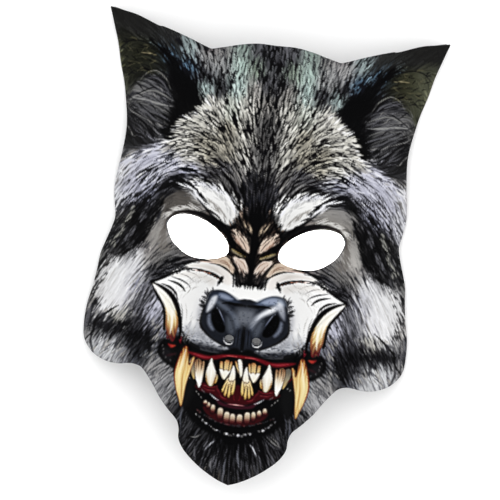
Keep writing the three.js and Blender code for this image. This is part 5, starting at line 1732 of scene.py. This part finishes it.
def band_tree():
    """A ribbed band along the mesh's edges. Its width lies along Y."""
    tree = bpy.data.node_groups.new("Ribbed band", "GeometryNodeTree")
    source = sockets(tree, [
        ("Geometry", "Geometry"), ("Width", "Float", 0.02), ("Thickness", "Float", 0.001),
        ("Rib pitch", "Float", 0.0015), ("Rib depth", "Float", 0.0001), ("Step", "Float", 0.001),
        ("Material", "Material"),
    ], [("Geometry", "Geometry")])

    def calc(kind, *terms):
        made = node(tree, "ShaderNodeMath", operation=kind)
        for k, term in enumerate(terms):
            if isinstance(term, (int, float)):
                made.inputs[k].default_value = term
            else:
                tree.links.new(term, made.inputs[k])
        return made.outputs[0]

    route = node(tree, "GeometryNodeMeshToCurve")
    even = node(tree, "GeometryNodeResampleCurve", mode="LENGTH")
    facing = node(tree, "GeometryNodeSetCurveNormal", {"Normal": (0, 1, 0)}, mode="FREE")
    measure = node(tree, "GeometryNodeSplineParameter")
    keep_along = node(tree, "GeometryNodeStoreNamedAttribute", {"Name": "along"}, data_type="FLOAT",
                      domain="POINT")
    ring = node(tree, "GeometryNodeCurvePrimitiveCircle", {"Resolution": 120, "Radius": 1})

    turn = node(tree, "GeometryNodeSplineParameter")
    angle = calc("MULTIPLY", turn.outputs["Factor"], 2 * np.pi)
    side = calc("COSINE", angle)
    rise = calc("SINE", angle)
    half = calc("MULTIPLY", source.outputs["Width"], 0.5)
    # the angle's arc sine spreads the ring's points evenly across the band
    spread = calc("MULTIPLY", calc("ARCSINE", side), 2 / np.pi)
    across = calc("MULTIPLY", spread, half)
    rib = calc("ABSOLUTE", calc("SINE", calc("DIVIDE", calc("MULTIPLY", across, np.pi),
                                             source.outputs["Rib pitch"])))
    dip = calc("MULTIPLY", calc("SUBTRACT", 1, rib), source.outputs["Rib depth"])
    thick = calc("SUBTRACT", calc("MULTIPLY", source.outputs["Thickness"], 0.5), dip)
    fall = calc("POWER", calc("ABSOLUTE", rise), 0.2)
    height = calc("MULTIPLY", calc("MULTIPLY", calc("SIGN", rise), fall), thick)

    spot = node(tree, "ShaderNodeCombineXYZ")
    shaped = node(tree, "GeometryNodeSetPosition")
    keep_across = node(tree, "GeometryNodeStoreNamedAttribute", {"Name": "across"}, data_type="FLOAT",
                       domain="POINT")
    sweep = node(tree, "GeometryNodeCurveToMesh", {"Fill Caps": True})
    smooth = node(tree, "GeometryNodeSetShadeSmooth")
    tree.links.new(across, spot.inputs["X"])
    tree.links.new(height, spot.inputs["Y"])
    tree.links.new(across, keep_across.inputs["Value"])
    wire(tree, [
        (source, "Geometry", route, "Mesh"),
        (route, "Curve", even, "Curve"),
        (source, "Step", even, "Length"),
        (even, "Curve", facing, "Curve"),
        (facing, "Curve", keep_along, "Geometry"),
        (measure, "Length", keep_along, "Value"),
        (ring, "Curve", shaped, "Geometry"),
        (spot, "Vector", shaped, "Position"),
        (shaped, "Geometry", keep_across, "Geometry"),
        (keep_along, "Geometry", sweep, "Curve"),
        (keep_across, "Geometry", sweep, "Profile Curve"),
        (sweep, "Mesh", smooth, "Geometry"),
    ])
    finish_tree(tree, source, smooth, "Geometry")
    return tree


def stitch_tree():
    """A run of stitches along the mesh's edges."""
    tree = bpy.data.node_groups.new("Stitch run", "GeometryNodeTree")
    source = sockets(tree, [
        ("Geometry", "Geometry"), ("Spacing", "Float", 0.0026), ("Length", "Float", 0.0019),
        ("Thread", "Float", 0.0005), ("Material", "Material"),
    ], [("Geometry", "Geometry")])
    route = node(tree, "GeometryNodeMeshToCurve")
    even = node(tree, "GeometryNodeResampleCurve", mode="LENGTH")
    spots_on = node(tree, "GeometryNodeCurveToPoints", mode="EVALUATED")
    bead = node(tree, "GeometryNodeMeshUVSphere", {"Segments": 8, "Rings": 6, "Radius": 0.5})
    size = node(tree, "ShaderNodeCombineXYZ")
    place = node(tree, "GeometryNodeInstanceOnPoints")
    smooth = node(tree, "GeometryNodeSetShadeSmooth")
    wire(tree, [
        (source, "Geometry", route, "Mesh"),
        (route, "Curve", even, "Curve"),
        (source, "Spacing", even, "Length"),
        (even, "Curve", spots_on, "Curve"),
        (source, "Thread", size, "X"),
        (source, "Thread", size, "Y"),
        (source, "Length", size, "Z"),
        (spots_on, "Points", place, "Points"),
        (spots_on, "Rotation", place, "Rotation"),
        (bead, "Mesh", place, "Instance"),
        (size, "Vector", place, "Scale"),
        (place, "Instances", smooth, "Geometry"),
    ])
    finish_tree(tree, source, smooth, "Geometry")
    return tree


# The strap's route and the patches' seats, found as in the CAD part

def under_strap(share, half_width):
    """The wall where it comes closest to the strap, and its direction outwards, in x and z."""
    rim = section("rim", STRAP_RISE)
    x = np.full(1, share * rim)
    spot = behind(x, np.full(1, STRAP_RISE), WALL)[0, [0, 2]]
    out = outward(x, np.full(1, STRAP_RISE))[0, [0, 2]]
    out = out / np.linalg.norm(out)
    sides = np.array([-1, -0.5, 0.5, 1]) * half_width
    wall = behind(np.full(4, share * rim), STRAP_RISE + sides, WALL)[:, [0, 2]]
    closest = min(0.0, ((wall - spot) @ out).min())
    return spot + closest * out, out


def strap_route(lowest):
    wall = []
    for share in np.linspace(STRAP_START, STRAP_LEAVE, 9):
        spot, out = under_strap(share, STRAP_WIDTH / 2)
        wall.append(spot - out * (2 * GAP + STRAP_THICKNESS / 2))
    leave = wall[-1]
    down = (leave - wall[-2]) / np.linalg.norm(leave - wall[-2])
    on_table = np.array([leave[0] - 1.1 * STRAP_TURN_RADIUS, lowest + GAP + STRAP_THICKNESS / 2])
    bend = [leave, leave + 0.9 * STRAP_TURN_RADIUS * down, on_table + (STRAP_TURN_RADIUS, 0), on_table]
    turn = bezier(bend, 12)
    x = np.linspace(on_table[0], 0, 25)[1:]
    arch = np.stack([x, on_table[1] + STRAP_HUMP * np.cos(np.pi / 2 * x / on_table[0]) ** 2], 1)
    half = np.vstack([wall, turn[1:], arch])
    return np.vstack([half, half[:-1][::-1] * (-1, 1)])


def patch_seat():
    """Corner of the right patch's seat and its directions along and out of the wall, in x and z."""
    rim = section("rim", STRAP_RISE)
    shares = np.arange(STRAP_START, 1, 0.002)
    line = behind(shares * rim, np.full(len(shares), STRAP_RISE), WALL)[:, [0, 2]]
    end = line[np.argmax(np.linalg.norm(line - line[0], axis=1) >= PATCH_LENGTH)]
    along = (end - line[0]) / np.linalg.norm(end - line[0])
    out = np.array([-along[1], along[0]])
    span = np.arange(2 * STRAP_START - 1, 1, 0.004)
    depth = 0.0
    for side in (-1, -0.5, 0, 0.5, 1):
        y = np.full(len(span), STRAP_RISE + side * (STRAP_WIDTH / 2 + PATCH_MARGIN))
        wall = behind(span * rim, y, WALL)[:, [0, 2]] - line[0]
        beside = (wall @ along > -GAP) & (wall @ along < PATCH_LENGTH + GAP)
        depth = min(depth, (wall[beside] @ out).min())
    return line[0] + out * (depth - GAP - FACET_SAG), along, out


# Settings

def length(name, description, default, low, high):
    """A length in metres that the user can set."""
    return bpy.props.FloatProperty(
        name=name, description=description, default=default, min=low, max=high, precision=5, unit="LENGTH")


class WolfPrintSettings(bpy.types.PropertyGroup):
    pitch: length("Point spacing", "Distance between the points that carry the print", 0.00079, 0.0004, 0.01)
    hairs: bpy.props.IntProperty(
        name="Hairs", description="Number of printed hairs", default=17000, min=100, max=60000)
    seed: bpy.props.IntProperty(
        name="Seed", description="Start of the random numbers of the print", default=7, min=0)
    hem: length("Hem", "How far the cloth turns over the cut edge of the foam", 0.0006, 0, 0.002)


class WolfFoamSettings(bpy.types.PropertyGroup):
    pitch: length("Point spacing", "Distance between the points of the foam", 0.0024, 0.001, 0.01)
    cloth: length("Cloth", "Thickness of the printed cloth in front of the foam", 0.0004, 0.0001, 0.001)


class WolfStrapSettings(bpy.types.PropertyGroup):
    rib_pitch: length("Rib pitch", "Distance between the rubber cords of the elastic", 0.0015, 0.0005, 0.005)
    rib_depth: length("Rib depth", "Depth of the groove between two cords", 0.00015, 0, 0.0004)


class WolfPatchSettings(bpy.types.PropertyGroup):
    inset: length("Stitch inset", "Distance of the stitching from the patch's edge", 0.0022, 0.0005, 0.005)
    spacing: length("Stitch spacing", "Distance from one stitch to the next", 0.0026, 0.001, 0.01)


class WolfStageSettings(bpy.types.PropertyGroup):
    field: length("Field of view", "Width of what the camera sees at the height of the face", 0.35, 0.1, 2)
    distance: length("Camera distance", "From the camera to the face", 6.0, 0.3, 20)
    lean: bpy.props.FloatProperty(
        name="Lean", description="How far the mask leans to the right in the picture",
        default=np.radians(6.5), subtype="ANGLE")
    side: bpy.props.FloatProperty(
        name="Side", description="How far the camera stands to the mask's right of straight above",
        default=np.radians(0.9), subtype="ANGLE")


# Pieces

class WOLF_OT_printed_face(bpy.types.Operator):
    """Builds the printed cloth that covers the face"""
    bl_idname = "wolf.printed_face"
    bl_label = "Printed face"

    def execute(self, context):
        settings = context.scene.wolf_print
        points, triangles = cut_sheet(settings.pitch / MM)
        x, y = points.T
        face = np.stack([x, y, form(x, y) + relief(x, y)], 1)
        rim = rim_edges(triangles)
        ends = np.unique(rim)
        place = np.zeros(len(points), int)
        place[ends] = len(points) + np.arange(len(ends))
        hem = face[ends] - outward(x[ends], y[ends]) * settings.hem / MM
        a, b = rim.T
        turned = np.vstack([np.stack([b, a, place[a]], 1), np.stack([b, place[a], place[b]], 1)])
        flat = np.vstack([points, points[ends]])
        obj = make_mesh("printed_face", np.vstack([face, hem]), np.vstack([triangles, turned]))
        add_uv(obj, flat)
        colour_points(obj, flat, paint(settings.seed, settings.hairs))
        obj.data.materials.append(print_material())
        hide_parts("mask_shell")
        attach(obj, "root")
        return {"FINISHED"}


class WOLF_OT_foam_back(bpy.types.Operator):
    """Builds the foam behind the printed cloth, with its cut edges"""
    bl_idname = "wolf.foam_back"
    bl_label = "Foam back"

    def execute(self, context):
        front, back, triangles = shell_layers()
        count = len(front)
        a, b = rim_edges(triangles).T
        faces = np.vstack([
            triangles,
            triangles[:, ::-1] + count,
            np.stack([b, a, a + count], 1),
            np.stack([b, a + count, b + count], 1),
        ])
        obj = make_mesh("foam_back", np.vstack([front, back]), faces)
        obj.data.set_sharp_from_angle(angle=np.radians(50))
        material, _ = grained("Foam", (0.14, 0.14, 0.145), roughness=0.85, scale=900, depth=0.00025,
                              spread=0.12)
        obj.data.materials.append(material)
        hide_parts("mask_shell")
        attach(obj, "root")
        return {"FINISHED"}


class WOLF_OT_strap(bpy.types.Operator):
    """Builds the elastic strap inside the mask"""
    bl_idname = "wolf.strap"
    bl_label = "Elastic strap"

    def execute(self, context):
        settings = context.scene.wolf_strap
        lowest = -frame_shift()[2]
        line = strap_route(lowest)
        points = np.stack([line[:, 0], np.full(len(line), STRAP_RISE), line[:, 1]], 1)
        obj = make_mesh("elastic_band", points, edges=[(k, k + 1) for k in range(len(points) - 1)])
        run_nodes(obj, band_tree(), {
            "Width": STRAP_WIDTH * MM,
            "Thickness": STRAP_THICKNESS * MM,
            "Rib pitch": settings.rib_pitch,
            "Rib depth": settings.rib_depth,
            "Step": BAND_STEP,
            "Material": elastic_material(),
        })
        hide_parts("elastic_strap")
        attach(obj, "root")
        return {"FINISHED"}


class WOLF_OT_patches(bpy.types.Operator):
    """Builds the two patches that hold the ends of the strap, with their stitches"""
    bl_idname = "wolf.patches"
    bl_label = "Strap patches"

    def execute(self, context):
        settings = context.scene.wolf_patch
        seat, along, out = patch_seat()
        half = STRAP_WIDTH / 2 + PATCH_MARGIN
        room = STRAP_WIDTH / 2 + GAP
        clear = 4 * GAP + STRAP_THICKNESS
        deep = clear + PATCH_THICKNESS
        profile = [(-half, 0), (-half, -deep), (half, -deep), (half, 0), (room, 0), (room, -clear),
                   (-room, -clear), (-room, 0)]
        cloth, _ = grained("Patch cloth", (0.014, 0.014, 0.015), roughness=0.9, scale=1100, depth=0.0002,
                           spread=0.3, sheen=0.4)
        thread, _ = grained("Thread", (0.03, 0.03, 0.032), roughness=0.6, scale=2500, depth=0.00005,
                            spread=0.2)
        tree = stitch_tree()
        for side, name in ((1, "patch_right"), (-1, "patch_left")):
            def at(u, v, w, s=side):
                spot = seat + out * v + along * w
                return s * spot[0], STRAP_RISE + s * u, spot[1]

            points = [at(u, v, w) for w in (0, PATCH_LENGTH) for u, v in profile]
            k = len(profile)
            faces = [(i, (i + 1) % k, (i + 1) % k + k, i + k) for i in range(k)]
            faces += [(0, 7, 6, 1), (1, 6, 5, 2), (2, 5, 4, 3)]
            faces += [tuple(k + v for v in face[::-1]) for face in faces[-3:]]
            obj = make_mesh(name, points, faces, smooth=False)
            bevel = obj.modifiers.new("Edges", "BEVEL")
            bevel.width = PATCH_EDGE
            bevel.segments = 2
            keep_evaluated(obj)
            inset = settings.inset / MM
            top = -deep - 0.1
            ring = [at(-half + inset, top, inset), at(half - inset, top, inset),
                    at(half - inset, top, PATCH_LENGTH - inset), at(-half + inset, top, PATCH_LENGTH - inset)]
            run = make_mesh(name + "_stitches", ring, edges=[(0, 1), (1, 2), (2, 3), (3, 0)])
            run_nodes(run, tree, {
                "Spacing": settings.spacing,
                "Length": STITCH_LENGTH,
                "Thread": THREAD,
                "Material": thread,
            })
            joined = bpy.data.meshes.new(name)
            join_meshes(joined, [obj.data, run.data])
            bpy.data.objects.remove(run)
            obj.data = joined
            joined.materials.append(cloth)
            joined.materials.append(thread)
            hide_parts("strap_" + name)
            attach(obj, "root")
        return {"FINISHED"}


def join_meshes(target, meshes):
    """Puts the meshes into one, each with the next material."""
    points, faces, material = [], [], []
    for k, mesh in enumerate(meshes):
        start = len(points)
        points += [tuple(v.co) for v in mesh.vertices]
        faces += [tuple(start + v for v in p.vertices) for p in mesh.polygons]
        material += [k] * len(mesh.polygons)
    target.from_pydata(points, [], faces)
    target.polygons.foreach_set("material_index", material)
    target.polygons.foreach_set("use_smooth", np.array(material) > 0)
    target.update()


def lamp(kind, name, place, towards, **settings):
    """A lamp that shines from its place towards a point."""
    data = bpy.data.lights.new(name, kind)
    for key, value in settings.items():
        setattr(data, key, value)
    obj = bpy.data.objects.new(name, data)
    obj.location = place
    obj.rotation_euler = (obj.location - towards).to_track_quat("Z", "Y").to_euler()
    bpy.context.scene.collection.objects.link(obj)
    return obj


class WOLF_OT_stage(bpy.types.Operator):
    """Adds the floor, the light and the camera"""
    bl_idname = "wolf.stage"
    bl_label = "Stage"

    def execute(self, context):
        scene = context.scene
        settings = scene.wolf_stage
        shift = frame_shift()
        low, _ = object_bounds()
        corners = [(x * FLOOR_REACH, y * FLOOR_REACH, low[2])
                   for x, y in ((-1, -1), (1, -1), (1, 1), (-1, 1))]
        mesh = bpy.data.meshes.new("floor")
        mesh.from_pydata(corners, [], [(0, 1, 2, 3)])
        material, _ = grained("Pale floor", (0.92, 0.92, 0.92), roughness=0.9, scale=60, depth=0.0,
                              spread=0.004)
        mesh.materials.append(material)
        floor = bpy.data.objects.new("floor", mesh)
        scene.collection.objects.link(floor)
        floor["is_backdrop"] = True

        world = bpy.data.worlds.new("Studio")
        world.use_nodes = True
        world.node_tree.nodes["Background"].inputs["Color"].default_value = (1, 1, 1, 1)
        world.node_tree.nodes["Background"].inputs["Strength"].default_value = 0.94
        scene.world = world
        scene.view_settings.view_transform = "Standard"

        aim = Vector((0, shift[1] * MM, AIM_HEIGHT))
        for name, place, energy, size in (
            ("key", (-0.5, 0.7, 1.6), 10, 1.6),
            ("fill", (0.9, -0.5, 1.5), 9, 1.8),
            ("top", (0, 0, 2.2), 9, 2.4),
        ):
            lamp("AREA", name, place, aim, energy=energy, size=size).visible_camera = False
        for side in (1, -1):
            eye = Vector((side * EYE_X * MM, (EYE_Y + shift[1]) * MM, 0))
            x, rise, height = EYE_LAMP
            lamp("SPOT", "eye_light", (side * x, eye.y + rise, height), eye,
                 energy=0.6, spot_size=np.radians(50), spot_blend=0.1, shadow_soft_size=0.004)

        data = bpy.data.cameras.new("camera")
        data.sensor_width = SENSOR
        data.lens = SENSOR * settings.distance / settings.field
        camera = bpy.data.objects.new("camera", data)
        offset = Vector((np.sin(settings.side), 0, np.cos(settings.side))) * settings.distance
        camera.location = Vector((LOOK_AT + shift) * MM) + offset
        back = offset.normalized()
        up = Matrix.Rotation(settings.lean, 3, back) @ Vector((0, 1, 0))
        right = up.cross(back).normalized()
        camera.rotation_mode = "QUATERNION"
        camera.rotation_quaternion = Matrix((right, back.cross(right), back)).transposed().to_quaternion()
        scene.collection.objects.link(camera)
        scene.camera = camera
        return {"FINISHED"}


class WOLF_PT_panel(bpy.types.Panel):
    """Settings and steps of the wolf mask"""
    bl_idname = "WOLF_PT_panel"
    bl_label = "Wolf mask"
    bl_space_type = "VIEW_3D"
    bl_region_type = "UI"
    bl_category = "Wolf mask"

    def draw(self, context):
        for operator, name in STEPS:
            box = self.layout.box()
            settings = getattr(context.scene, name)
            for prop in settings.bl_rna.properties:
                if not prop.is_readonly and prop.identifier != "name":
                    box.prop(settings, prop.identifier)
            box.operator(operator.bl_idname)


GROUPS = {
    "wolf_print": WolfPrintSettings,
    "wolf_foam": WolfFoamSettings,
    "wolf_strap": WolfStrapSettings,
    "wolf_patch": WolfPatchSettings,
    "wolf_stage": WolfStageSettings,
}
STEPS = [
    (WOLF_OT_printed_face, "wolf_print"),
    (WOLF_OT_foam_back, "wolf_foam"),
    (WOLF_OT_strap, "wolf_strap"),
    (WOLF_OT_patches, "wolf_patch"),
    (WOLF_OT_stage, "wolf_stage"),
]
CLASSES = list(GROUPS.values()) + [operator for operator, _ in STEPS] + [WOLF_PT_panel]


def register():
    for cls in CLASSES:
        bpy.utils.register_class(cls)
    for name, group in GROUPS.items():
        setattr(bpy.types.Scene, name, bpy.props.PointerProperty(type=group))


def unregister():
    for name in GROUPS:
        delattr(bpy.types.Scene, name)
    for cls in reversed(CLASSES):
        bpy.utils.unregister_class(cls)


def main():
    register()
    bpy.ops.wolf.printed_face()
    bpy.ops.wolf.foam_back()
    bpy.ops.wolf.strap()
    bpy.ops.wolf.patches()
    bpy.ops.wolf.stage()


if __name__ == "__main__":
    main()
